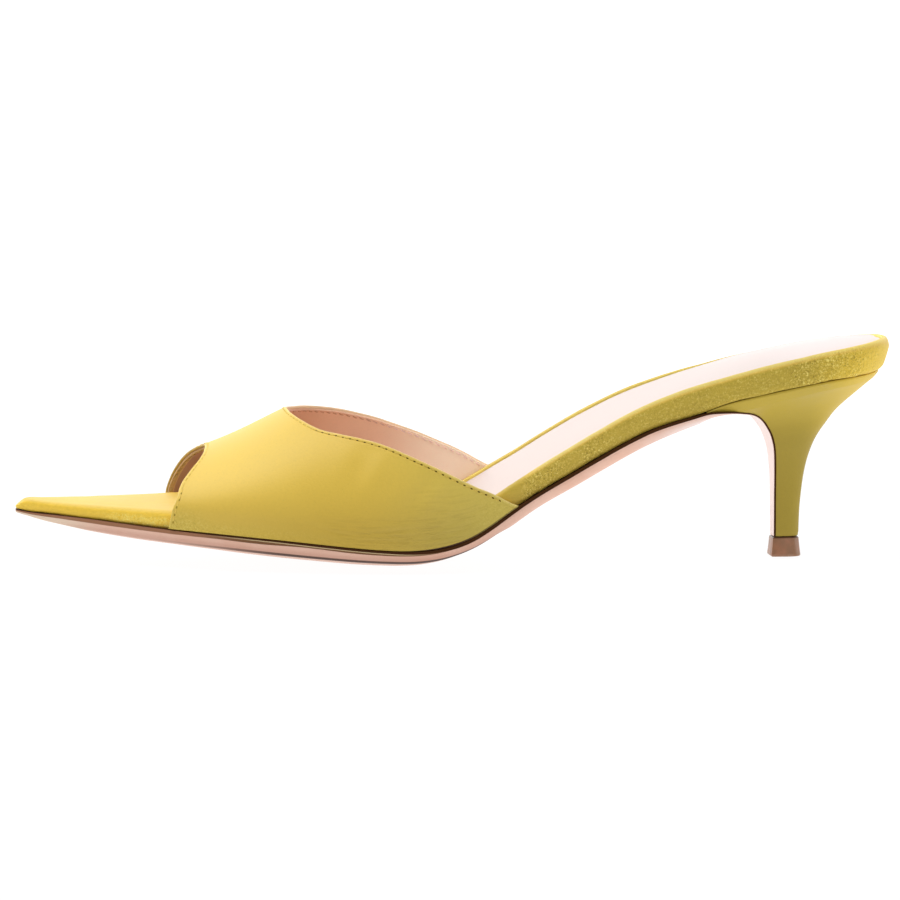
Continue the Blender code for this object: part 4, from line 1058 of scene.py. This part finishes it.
def make_heel():
    count, steps, rows = 180, 16, 8
    near_seat, far_seat = heel_seat_curve(count)
    half = count // 2
    a = np.linspace(0, 1, half + 1)
    path = np.linspace(180, 215, 900)
    wing_s = np.interp(HEEL_FRONT, _path_t(path), path)
    level = np.linspace(0, len(HEEL["front_z"]) - 1, (len(HEEL["front_z"]) - 1) * rows + 1)
    index = np.arange(len(HEEL["front_z"]), dtype=float)
    column = {k: spline(index, v)(level) for k, v in HEEL.items()}

    def ring(front_s, back_t, back_z, roundness, seat, below=None, narrow=0.0):
        front = sole_point(np.array(front_s), np.array(0.0), -GAP + 0.1)
        ft, fz = front[0], front[2]
        if below is not None:
            ft = HEEL_FRONT
        points = []
        for side, curve in ((-1, near_seat), (1, far_seat)):
            edge_y = float(sole_half(np.array(front_s), side))
            if seat > 0.95:
                edge_y = abs(curve[0, 1] if side < 0 else curve[-1, 1])
            c = curve if side < 0 else curve[::-1]
            lam_seat = (c[:, 0] - c[0, 0]) / (c[-1, 0] - c[0, 0])
            wid_seat = np.abs(c[:, 1]) / abs(c[0, 1])
            lam_round = np.sin(a * math.pi / 2) ** (2 / roundness)
            wid_round = np.cos(a * math.pi / 2) ** (2 / roundness)
            lam = lam_round + (lam_seat - lam_round) * seat
            wid = wid_round + (wid_seat - wid_round) * seat
            t = ft + (back_t - narrow - ft) * lam
            y = side * (edge_y - narrow) * wid
            if below is not None:
                z = sole_line(t, y) - GAP + 0.12 - below
            else:
                lift_z = _rise(ft) * (1 if side > 0 else 0) * seat
                chord = fz + lift_z * (1 - lam) + (back_z - fz) * lam
                seat_z = sole_line(t, y) - GAP - 0.8
                chord_seat = seat_z[0] + (seat_z[-1] - seat_z[0]) * lam
                z = chord + (seat_z - chord_seat) * seat ** 2
            pts = np.c_[t, y, z]
            points.append(pts if side < 0 else pts[::-1][1:])
        outer = np.vstack(points)
        first, last = outer[0], outer[-1]
        k = np.arange(1, steps)[:, None] / steps
        front_points = last + (first - last) * k
        if below is not None:
            front_points[:, 2] = sole_line(front_points[:, 0], front_points[:, 1]) - GAP + 0.12 - below
        return np.vstack([outer, front_points])

    loops = []
    for i in range(len(level)):
        s = breast_at(column["front_z"][i]) if i else _path_s[-1]
        narrow = 0.22 * (1 - min(i, 3) / 3)
        loops.append(ring(s, column["back_t"][i], column["back_z"][i],
                          column["round"][i], column["seat"][i], None, narrow))
    top_back = near_seat[-1, 0]
    loops.append(ring(wing_s, top_back - 0.25, sole_line(top_back, 0.0) - GAP - 0.8, 2.0, 1.0))
    for below, narrow in ((0.6, 0.0), (0.4, 0.0), (0.22, 0.02), (0.1, 0.06), (0.0, 0.16)):
        loops.append(ring(wing_s, top_back, 0.0, 2.0, 1.0, below, narrow))
    rings = np.array(loops)
    skin = Skin()
    skin.grid(rings, round_columns=True)

    def cap(r, height=None):
        outer, front = r[:count + 1], r[count + 1:]
        rows_out = [np.vstack([outer[:1], front[::-1], outer[-1:]])]
        for i in range(1, half):
            k = np.linspace(0, 1, steps + 1)[:, None]
            q = outer[i] + (outer[count - i] - outer[i]) * k
            if height is not None:
                q[1:-1, 2] = height(q[1:-1, 0], q[1:-1, 1])
            rows_out.append(q)
        rows_out.append(np.repeat(outer[half:half + 1], steps + 1, 0))
        return np.array(rows_out)

    skin.grid(cap(rings[0]))
    skin.grid(cap(rings[-1], lambda t, y: sole_line(t, y) - GAP + 0.12))

    def roughen(p, n):
        high = ease(p[:, 2], 8, 30)
        return 0.06 * cloud(p, 15.0, 61) * high + 0.02 * cloud(p, 4.0, 63) - 0.02

    return skin.make("heel_cover", HEEL_COVER, roughen, sharp=55)


def make_tip():
    count = 120
    levels = table("z front back half round", [
        (0.0, 227.45, 236.0, 3.6, 2.6),
        (0.06, 227.25, 236.22, 3.8, 2.7),
        (0.18, 227.12, 236.36, 3.93, 2.7),
        (0.35, 227.05, 236.45, 4.0, 2.7),
        (0.9, 227.08, 236.4, 3.97, 2.7),
        (2.0, 227.2, 236.25, 3.85, 2.6),
        (3.3, 227.32, 236.1, 3.72, 2.55),
        (4.6, 227.42, 235.97, 3.6, 2.5),
        (5.5, 227.48, 235.9, 3.53, 2.45),
        (5.72, 227.55, 235.84, 3.47, 2.45),
        (5.85, 227.72, 235.68, 3.3, 2.45),
        (TIP_HEIGHT + 0.2, 228.4, 235.2, 2.7, 2.45),
    ])
    a = np.linspace(-1, 1, count + 1) * math.pi / 2
    loops = []
    for z, front, back, width, power in zip(*levels.values()):
        straight = 0.35 * (back - front)
        lam = np.abs(np.cos(a)) ** (2 / power)
        y = np.sign(np.sin(a)) * width * np.abs(np.sin(a)) ** (2 / power)
        t = front + straight + (back - front - straight) * lam
        corner = 0.25
        start = np.array([(front + corner, -width), (front + 0.07, -width + 0.07), (front, -width + corner)])[::-1]
        start = np.vstack([start[:1], start[1:]])
        finish = start[::-1] * np.array([1, -1])
        pts = np.vstack([start, np.c_[t, y], finish])
        loops.append(np.c_[pts, np.full(len(pts), z)])
    rings = np.array(loops)
    skin = Skin()
    skin.grid(rings, round_columns=True)
    size = rings.shape[1]
    for r in (rings[0], rings[-1]):
        k = np.linspace(0, 1, 9)[None, :, None]
        m = size // 2
        near, far = r[:m], r[::-1][:m]
        rows_out = near[:, None] * (1 - k) + far[:, None] * k
        if size % 2:
            rows_out = np.concatenate([rows_out, np.repeat(r[None, m:m + 1], 9, 1)])
        skin.grid(rows_out)
    return skin.make("top_piece", RUBBER, lambda p, n: 0.012 * cloud(p, 1.2, 71) * ease(p[:, 2], 0.0, 0.3), sharp=40)


# ---- vamp ------------------------------------------------------------------------------------------------
def arch(t, degrees):
    t = np.asarray(t, float)
    degrees = np.asarray(degrees, float)
    side = np.where(degrees <= 90, -1.0, 1.0)
    from_edge = np.where(degrees <= 90, degrees, 180 - degrees)
    height, power = _ridge(t), _square(t)
    p = np.radians(np.clip((from_edge - BASE_ANGLE) / (90 - BASE_ANGLE), 0, 1) * 90)
    base = VAMP_BASE * np.clip(from_edge / BASE_ANGLE, 0, 1)
    width = np.where(side < 0, half_width(t, -1), half_width(t, 1)) + GAP + VAMP_WALL
    y = side * width * np.cos(p) ** (2 / power) + RIDGE_SHIFT * np.sin(p) ** 1.5
    z = (_bottom(t) + _rise(t) * (side > 0) * (1 - np.sin(p)) + base
         + (height - VAMP_BASE) * np.sin(p) ** (2 / power))
    return np.stack([t, y, z], -1)


_outer_front = smooth(OUTER_EDGES["degrees"], OUTER_EDGES["front"])
_outer_line = smooth(OUTER_EDGES["degrees"], OUTER_EDGES["topline"])
_inner_front = smooth(INNER_EDGES["degrees"], INNER_EDGES["front"])
_inner_line = smooth(INNER_EDGES["degrees"], INNER_EDGES["topline"])


def vamp_span(degrees):
    d = np.minimum(degrees, 180 - degrees)
    outer = np.asarray(degrees) <= 90
    return (np.where(outer, _outer_front(d), _inner_front(d)),
            np.where(outer, _outer_line(d), _inner_line(d)))


def slopes(t, degrees):
    """How the skin runs round the arch (per degree) and along the shoe (per mm)."""
    lo, hi = np.clip(degrees - 0.4, 0, 180), np.clip(degrees + 0.4, 0, 180)
    around = (arch(t, hi) - arch(t, lo)) / (hi - lo)[..., None]
    along = arch(t + 0.5, degrees) - arch(t - 0.5, degrees)
    return around, along


def unit(v):
    return v / np.maximum(np.linalg.norm(v, axis=-1), 1e-9)[..., None]


def inward_normal(t, degrees):
    around, along = slopes(t, degrees)
    normal = np.cross(around, along)
    flat = np.clip(np.minimum(degrees, 180 - degrees) / 3.0, 0, 1)
    normal = unit(normal)
    normal[..., 2] *= flat
    return unit(normal)


def edge_band(degrees, which, distances):
    """Rows that run alongside one edge of the vamp, at those distances in from it.
    Returns t and degrees of each row, and the edge's own directions."""
    span = vamp_span(degrees)[which]
    step = 0.25
    lo, hi = np.clip(degrees - 0.5, 0, 180), np.clip(degrees + 0.5, 0, 180)
    t, d = span.copy(), degrees.copy()
    rows = [(0.0, t.copy(), d.copy())]
    run = arch(vamp_span(hi)[which], hi) - arch(vamp_span(lo)[which], lo)
    run = unit(run)
    into = None
    ends = np.clip(np.minimum(degrees, 180 - degrees) / 5.0, 0, 1)
    walked = 0.0
    while walked < distances[-1] - 1e-6:
        normal = inward_normal(t, d)
        direction = unit(np.cross(normal, run))
        if which == 0:
            direction = np.where(direction[..., :1] < 0, -direction, direction)
        else:
            direction = np.where(direction[..., :1] > 0, -direction, direction)
        if into is None:
            into = direction.copy()
        around, along = slopes(t, d)
        aa = (around * around).sum(-1)
        ab = (around * along).sum(-1)
        bb = (along * along).sum(-1)
        ga = (around * direction).sum(-1)
        gb = (along * direction).sum(-1)
        det = np.maximum(aa * bb - ab * ab, 1e-9)
        dd = (ga * bb - gb * ab) / det
        dt = (gb * aa - ga * ab) / det
        dd = dd * ends
        t = t + dt * step
        d = np.clip(d + dd * step, 0, 180)
        walked += step
        rows.append((walked, t.copy(), d.copy()))
    at = np.array([r[0] for r in rows])
    ts = np.array([r[1] for r in rows])
    ds = np.array([r[2] for r in rows])

    def pick(q):
        i = np.clip(np.searchsorted(at, q, side="right") - 1, 0, len(at) - 2)
        w = (q - at[i]) / (at[i + 1] - at[i])
        return ts[i] * (1 - w) + ts[i + 1] * w, ds[i] * (1 - w) + ds[i + 1] * w

    return [pick(q) for q in distances], into, run


def hollow(points):
    """Depth of creases and hollows at places on the vamp's skin."""
    depth = np.zeros(points.shape[:-1])
    side = np.where(points[..., 1] < 0, -1, 1)
    for k in range(len(CREASES["t"])):
        a = math.radians(CREASES["angle"][k])
        dt, dz = points[..., 0] - CREASES["t"][k], points[..., 2] - CREASES["z"][k]
        along = dt * math.cos(a) + dz * math.sin(a)
        bow = 0.012 * along ** 2 if CREASES["width"][k] < 1.3 else 0.0
        over = -dt * math.sin(a) + dz * math.cos(a) - bow
        depth += (side == CREASES["side"][k]) * CREASES["depth"][k] * np.exp(
            -(along / CREASES["length"][k]) ** 2 - (over / CREASES["width"][k]) ** 2)
    return depth


BAND = [0.42, 0.60, 0.76, 0.92, 1.02, 1.12, 1.22, 1.36, 1.6, 1.95, 2.4, 3.0, 3.8]


def edge_relief(distance):
    """Swell between a folded edge and its stitch line, and the groove of the stitches."""
    return (0.025 * np.exp(-((distance - 0.6) / 0.2) ** 2) - 0.05 * np.exp(-((distance - STITCH_INSET) / 0.2) ** 2)
            + 0.02 * np.exp(-((distance - 1.75) / 0.4) ** 2))


def vamp_rows(degrees, middle, band):
    """All rows of one face: t, degrees and distance from the nearer edge."""
    front, front_in, front_run = edge_band(degrees, 0, band)
    back, back_in, back_run = edge_band(degrees, 1, band)
    rows = [(t, d, q) for (t, d), q in zip(front, band)]
    (ta, da), (tb, db) = front[-1], back[-1]
    for w in np.linspace(0, 1, middle + 2)[1:-1]:
        rows.append((ta + (tb - ta) * w, da + (db - da) * w, 50.0))
    rows += [(t, d, q) for (t, d), q in zip(back[::-1], band[::-1])]
    return rows, (front_in, front_run), (back_in, back_run)


def skin_at(t, d, depth, distance):
    """Points of the vamp at a depth under its skin, with the creases pressed in."""
    p = arch(t, d)
    n = inward_normal(t, d)
    ends = np.clip(np.minimum(d, 180 - d) / 4.0, 0, 1)
    edge = ease(distance, 0.3, 3.8)
    sink = hollow(p) * ends * (0.35 + 0.65 * edge)
    flat = p.reshape(-1, 3)
    wave = (0.05 * cloud(flat, 13.0, 81)).reshape(p.shape[:-1]) * ends * edge
    relief = np.zeros_like(sink) + (edge_relief(distance) if depth == 0 else 0.0) * ends
    relief = relief * (1 - 0.8 * ease(np.minimum(d, 180 - d), 24, 36) * ease(t, 66, 60))
    return p + n * (depth + sink + wave + 0.05 - relief)[..., None]


def flex_at(points):
    """Where the upper flexes over the ball of the foot, and the run and height
    of each place along the feather line, in metres."""
    t, height = points[..., 0], points[..., 2] - _bottom(points[..., 0])
    level = points[..., 2] - 0.6 * _bottom(points[..., 0])
    flex = (ease(t, 84, 102) * ease(t, 140, 126) * ease(height, 12, 4)
            + 0.5 * ease(t, 108, 120) * ease(t, 144, 132) * ease(height, 24, 12) * ease(height, 3, 10))
    # rubbed places: the lower corners, and a little along the feather line
    nap = (0.75 * ease(t, 60, 46) * ease(height, 9, 2.5) + 0.4 * ease(t, 104, 62) * ease(height, 5, 1)
           + 0.55 * ease(t, 128, 141) * ease(height, 14, 5))
    plain = 1 - 0.6 * ease(points[..., 1], -5, 5)
    flex, nap = flex * plain, nap * plain
    return {"flex": np.clip(flex, 0, 1), "run": t * MM, "height": level * MM, "nap": np.clip(nap, 0, 1),
            "paint": np.zeros(t.shape)}


def paint_at(shape, faces, folded):
    """Edge paint, which is also painted shadow of the joint, on the lowest half millimetre of the upper, by height over
    its feather line (positive), and the pale fold of the inner topline (negative)."""
    half = shape.shape[1] // 2
    paint = np.zeros(shape.shape[:2])
    for end, part in ((0, slice(0, half)), (-1, slice(half, None))):
        line = shape[:faces, end]
        line = line[np.argsort(line[:, 0])]
        points = shape[:, part]
        over = points[..., 2] - np.interp(points[..., 0], line[:, 0], line[:, 2])
        reach = 0.46 * ease(points[..., 0], 108, 132) * ease(points[..., 0], 149, 144)
        paint[:, part] = np.clip((reach + 0.16 - over) / 0.32, 0, 1) * (reach > 0.01)
    return paint - folded[:, None] * ease(shape[..., 1], 4, 12) * ease(shape[..., 0], 70, 78)


def make_vamp():
    columns = 380
    degrees = np.linspace(0, 180, columns + 1)
    rows, front_dirs, back_dirs = vamp_rows(degrees, 84, BAND)
    outer = [skin_at(t, d, 0.0, q) for t, d, q in rows]
    inner_rows = [r for i, r in enumerate(rows)
                  if r[2] < 40 and i % 2 == 0 or r[2] > 40 and i % 5 == 0]
    inner = []
    for t, d, q in inner_rows:
        depth = 2 * FOLD_RADIUS - (2 * FOLD_RADIUS - LEATHER) * float(ease(q, 2.0, 3.6))
        inner.append(skin_at(t, d, depth, q))
    ends = np.clip(np.minimum(degrees, 180 - degrees) / 4.0, 0, 1)[:, None]

    def roll(last_outer, first_inner, into):
        """Half round from the outer face over the folded edge to the inner one."""
        centre = (last_outer + first_inner) / 2
        up = (last_outer - first_inner) / 2
        out = -unit(into) * np.linalg.norm(up, axis=-1)[..., None]
        turns = []
        for phi in np.linspace(0, math.pi, 10)[1:-1]:
            turns.append(centre + up * math.cos(phi) + out * math.sin(phi))
        return turns

    back_roll = roll(outer[-1], inner[-1], back_dirs[0])
    front_roll = roll(outer[0], inner[0], front_dirs[0])
    ring = outer + back_roll + inner[::-1] + front_roll[::-1]
    skin = Skin()
    shape = np.array(ring)
    folded = np.concatenate([[math.exp(-(r[2] / 0.5) ** 2) for r in rows], np.ones(len(back_roll)),
                             [0.6 if r[2] < 0.9 else 0.0 for r in inner_rows], np.ones(len(front_roll))])
    # painted highlight along the folded topline, painted shade on the inner half of the front opening
    wear_and_edge_light = 0.28 + 0.72 * ease(shape[..., 0], 58, 72)
    wear_and_edge_light = wear_and_edge_light - 1.25 * ease(shape[..., 0], 64, 58) * ease(shape[..., 1], 2.0, 9.0)
    values = {"edge": folded[:, None] * wear_and_edge_light, **flex_at(shape), "paint": paint_at(shape, len(outer), folded)}
    skin.grid(shape, round_rows=True, **values)

    def close(points):
        skin.grid(points, edge=0.0, **flex_at(points))

    # close the two lower ends, between the outer and the inner rows
    for end in (0, -1):
        a = np.array([r[end] for r in outer])
        b = np.array([r[end] for r in inner])
        place = np.array([r[0][end] for r in inner_rows])
        full = np.array([r[0][end] for r in rows])
        # each outer point goes to the inner point at or next before it
        pick = np.clip(np.searchsorted(place, full + 1e-9, side="right") - 1, 0, len(b) - 1)
        close(np.array([a, b[pick]]))
        for extra in (front_roll, back_roll):
            fan = np.array([r[end] for r in extra])
            first, last = (outer[0][end], inner[0][end]) if extra is front_roll else (outer[-1][end], inner[-1][end])
            arc = np.vstack([[first], fan, [last]])
            m = len(arc)
            pairs = np.array([arc[:m // 2], arc[::-1][:m // 2]])
            close(pairs)
    piece = skin.make("vamp_leather", UPPER, None, sharp=60)

    # the lining: its cut edge lies just under the folded edge
    columns = 250
    degrees = np.linspace(0, 180, columns + 1)
    band = [0.40, 0.46, 0.6, 0.8, 0.97, 1.12, 1.32, 1.6, 1.9, 2.2, 2.6, 3.1, 3.8]
    rows, _, _ = vamp_rows(degrees, 60, band)
    back_face, inner_face, turned = [], [], []
    for i, (t, d, q) in enumerate(rows):
        edge_cut = 0.05 if q == band[0] else 0.0
        hidden = 2 * FOLD_RADIUS + 0.03 - (2 * FOLD_RADIUS - LEATHER) * float(ease(q, 2.0, 3.6))
        if q < 40 or i % 4 == 0:
            back_face.append((t, skin_at(t, d, hidden + edge_cut, q)))
        groove = 0.06 * math.exp(-((q - STITCH_INSET) / 0.22) ** 2) if q < 40 else 0.0
        inner_face.append((t, skin_at(t, d, VAMP_WALL - 0.06 - groove - edge_cut, q)))
        turned.append(float(np.clip((2.2 - q) / 0.6, 0, 1)) if i < len(band) else 0.0)
    skin = Skin()
    ring = [p for _, p in inner_face] + [p for _, p in back_face][::-1]
    turned = np.array(turned + [0.0] * len(back_face))
    shape = np.array(ring)
    skin.grid(shape, round_rows=True, turned=np.broadcast_to(turned[:, None], shape.shape[:2]))
    for end in (0, -1):
        a = np.array([p[end] for _, p in inner_face])
        b = np.array([p[end] for _, p in back_face])
        place = np.array([t[end] for t, _ in back_face])
        full = np.array([t[end] for t, _ in inner_face])
        pick = np.clip(np.searchsorted(place, full + 1e-9, side="right") - 1, 0, len(b) - 1)
        skin.grid(np.array([a, b[pick]]), turned=0.0)
    lining = skin.make("vamp_lining", LINING, None, sharp=50)
    return piece, lining


def make_stitches():
    """Thread and needle holes along the topline and the front opening, both faces."""
    kinds = {"stitches_outside": (THREAD_YELLOW, 0.0, -1), "stitches_inside": (THREAD_PINK, VAMP_WALL - 0.02, 1)}
    pieces = []
    hole_points, hole_faces = [], []
    for name, (material, depth, way) in kinds.items():
        points, faces = [], []
        for which in (0, 1):
            first = (1.5, 13.0)[which]      # the topline's stitches stop short of its corners
            degrees = np.linspace(first, 180.0 - first, 1400)
            t, d = edge_band(degrees, which, [0.25, STITCH_INSET])[0][1]
            line = skin_at(t, d, depth if depth else 0.0, STITCH_INSET)
            normal = inward_normal(t, d) * way
            s = np.concatenate([[0], np.cumsum(np.linalg.norm(np.diff(line, axis=0), axis=1))])
            number = int((s[-1] - 2.0) / STITCH_PITCH)
            start = (s[-1] - number * STITCH_PITCH) / 2

            def at(q):
                return (np.stack([np.interp(q, s, line[:, k]) for k in range(3)], -1),
                        unit(np.stack([np.interp(q, s, normal[:, k]) for k in range(3)], -1)))

            for i in range(number):
                wobble = 0.10 * math.sin(i * 12.9898 + which * 3.1)
                a = start + i * STITCH_PITCH + 0.30 + wobble * 0.4
                b = start + (i + 1) * STITCH_PITCH - 0.22 + wobble * 0.4
                q = np.linspace(a, b, 9)
                centre, up = at(q)
                along = unit(np.gradient(centre, axis=0))
                sideways = np.cross(up, along)
                u = np.linspace(-1, 1, 9)
                rise = (0.07 if way < 0 else 0.13) - 0.24 * u ** 4
                thick = (THREAD if way < 0 else THREAD + 0.05) * np.sqrt(np.clip(1 - np.abs(u) ** 5, 0.05, 1))
                lean = (0.07 if way < 0 else -0.2) * u
                centre = centre + up * rise[:, None] + sideways * lean[:, None]
                base = len(points)
                for j in range(9):
                    for m in range(7):
                        w = 2 * math.pi * m / 7
                        points.append(centre[j] + (sideways[j] * math.cos(w) + up[j] * math.sin(w)) * thick[j])
                for j in range(8):
                    for m in range(7):
                        k = (m + 1) % 7
                        faces.append((base + j * 7 + m, base + j * 7 + k,
                                      base + (j + 1) * 7 + k, base + (j + 1) * 7 + m))
                faces.append(tuple(base + m for m in range(7))[::-1])
                faces.append(tuple(base + 56 + m for m in range(7)))
            if way < 0:
                for i in range(number + 1):
                    wobble = 0.10 * math.sin(i * 12.9898 + which * 3.1)
                    q = np.array([start + i * STITCH_PITCH + 0.04 + wobble * 0.4])
                    centre, up = at(q)
                    ahead, _ = at(q + 0.1)
                    along = unit(ahead - centre)[0]
                    sideways = np.cross(up[0], along)
                    base = len(hole_points)
                    middle = centre[0] + up[0] * 0.035
                    for ring, size in ((0, 1.0), (1, 1.0)):
                        for m in range(12):
                            w = 2 * math.pi * m / 12
                            hole_points.append(middle + up[0] * (-0.10 * ring)
                                               + along * (0.38 * math.cos(w) * size)
                                               + sideways * (0.22 * math.sin(w) * size))
                    hole_points.append(middle + up[0] * 0.01)
                    for m in range(12):
                        k = (m + 1) % 12
                        hole_faces.append((base + m, base + k, base + 12 + k, base + 12 + m))
                        hole_faces.append((base + m, base + k, base + 24))
                    hole_faces.append(tuple(base + 12 + m for m in range(12))[::-1])
        pieces.append(loose_mesh(name, points, faces, material))
    pieces.append(loose_mesh("needle_holes", hole_points, hole_faces, HOLES))
    return pieces


def loose_mesh(name, points, faces, material):
    mesh = bpy.data.meshes.new(name)
    mesh.from_pydata(((np.array(points) - MIDDLE) * MM).tolist(), [], faces)
    work = bmesh.new()
    work.from_mesh(mesh)
    bmesh.ops.recalc_face_normals(work, faces=work.faces)
    work.to_mesh(mesh)
    work.free()
    mesh.materials.append(material)
    mesh.shade_smooth()
    piece = bpy.data.objects.new(name, mesh)
    bpy.context.scene.collection.objects.link(piece)
    return piece


# ---- putting the shoe together ----------------------------------------------------------------------------
def place(piece, slot, *nodes):
    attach(piece, "root")
    if nodes:
        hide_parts(*nodes)


place(make_outsole(), "sole_leather", "outsole")
place(make_footbed(), "wrap_leather", "footbed")
place(make_sock(), "sock_leather", "sock_lining")
vamp_leather, vamp_lining = make_vamp()
place(vamp_leather, "upper_leather", "vamp")
place(vamp_lining, "sock_leather")
place(make_heel(), "heel_leather", "heel")
place(make_tip(), "top_piece", "heel_tip")
for stitched in make_stitches():
    place(stitched, "upper_leather")


# ---- studio -----------------------------------------------------------------------------------------------
def make_stage():
    """A pale floor that turns up into a backdrop far behind."""
    profile = [(-6.0, 0.0), (2.4, 0.0)]
    profile += [(2.4 + 0.8 * math.sin(a), 0.8 - 0.8 * math.cos(a)) for a in np.linspace(0, math.pi / 2, 16)[1:]]
    profile += [(3.2, 3.5)]
    points, faces = [], []
    for x in (-6.0, 6.0):
        points += [(x, y, z - 0.00002) for y, z in profile]
    n = len(profile)
    for i in range(n - 1):
        faces.append((i, i + 1, n + i + 1, n + i))
    mesh = bpy.data.meshes.new("studio_floor")
    mesh.from_pydata(points, [], faces)
    mesh.shade_smooth()
    look = Look("studio_floor", roughness=0.9, specular=0.1)
    tone = look.mix(look.span(look.noise(400.0, 2.0, 0.5), 0.3, 0.7), (0.075, 0.075, 0.075, 1), (0.08, 0.08, 0.08, 1))
    look.set("Base Color", tone)
    look.set("Emission Color", (1.0, 1.0, 1.0, 1.0))
    # the backdrop far behind is lit on its own, and the floor by the shoe is not
    far = look.math("ADD", look.span(look.axis("Y"), 0.25, 1.5, 0.0, 0.70),
                    look.span(look.math("ABSOLUTE", look.axis("X")), 0.5, 2.0, 0.0, 0.25))
    look.set("Emission Strength", look.math("ADD", far, 0.94))
    mesh.materials.append(look.material)
    floor = bpy.data.objects.new("studio_floor", mesh)
    bpy.context.scene.collection.objects.link(floor)


def make_light(name, place_at, aim, size, power, colour=(1, 1, 1)):
    data = bpy.data.lights.new(name, "AREA")
    data.shape = "RECTANGLE"
    data.size, data.size_y = size
    data.energy = power
    data.color = colour
    lamp = bpy.data.objects.new(name, data)
    lamp.location = place_at
    lamp.rotation_euler = (Vector(aim) - Vector(place_at)).to_track_quat("-Z", "Y").to_euler()
    bpy.context.scene.collection.objects.link(lamp)


def make_world():
    world = bpy.data.worlds.new("studio")
    bpy.context.scene.world = world
    world.use_nodes = True
    tree = world.node_tree
    back = tree.nodes["Background"]
    where = tree.nodes.new("ShaderNodeTexCoord")
    split = tree.nodes.new("ShaderNodeSeparateXYZ")
    tree.links.new(where.outputs["Generated"], split.inputs[0])
    ramp = tree.nodes.new("ShaderNodeMapRange")
    ramp.inputs["From Min"].default_value = -0.1
    ramp.inputs["From Max"].default_value = 0.9
    ramp.inputs["To Min"].default_value = 0.10
    ramp.inputs["To Max"].default_value = 0.30
    tree.links.new(split.outputs["Z"], ramp.inputs["Value"])
    tree.links.new(ramp.outputs["Result"], back.inputs["Strength"])
    back.inputs["Color"].default_value = (1.0, 1.0, 1.0, 1.0)


def make_camera():
    """The photograph's own camera: a long lens, a little above the shoe and to its toe side."""
    azimuth, elevation, roll = math.radians(5.5), math.radians(5.4), math.radians(0.22)
    target = (Vector((129.7, 0.0, 32.6)) - Vector(MIDDLE.tolist())) * MM
    back = Vector((-math.sin(azimuth) * math.cos(elevation),
                   -math.cos(azimuth) * math.cos(elevation), math.sin(elevation)))
    right = Vector((math.cos(azimuth), -math.sin(azimuth), 0.0))
    up = back.cross(right)
    if up.z < 0:
        up = -up
    right, up = (right * math.cos(roll) + up * math.sin(roll),
                 up * math.cos(roll) - right * math.sin(roll))
    data = bpy.data.cameras.new("camera")
    data.lens = 160.0
    data.sensor_width = 36.0
    data.clip_start, data.clip_end = 0.05, 60.0
    camera = bpy.data.objects.new("camera", data)
    camera.matrix_world = Matrix((
        (right.x, up.x, back.x, target.x + back.x * 1.2),
        (right.y, up.y, back.y, target.y + back.y * 1.2),
        (right.z, up.z, back.z, target.z + back.z * 1.2),
        (0, 0, 0, 1)))
    bpy.context.scene.collection.objects.link(camera)
    bpy.context.scene.camera = camera


make_stage()
make_world()
make_light("key", (-0.75, 0.05, 1.45), (0, 0, 0.03), (1.5, 1.5), 26.0)
make_light("side", (-1.5, -1.5, 0.9), (0, 0, 0.03), (1.2, 1.0), 0.8)
make_light("front_fill", (0.9, -1.7, 0.8), (0, 0, 0.03), (1.2, 1.0), 4.5)
make_light("heel_side", (1.4, -0.1, 0.25), (0.1, 0, 0.03), (0.8, 0.5), 3.5)
make_camera()
bpy.context.scene.view_settings.view_transform = "Standard"
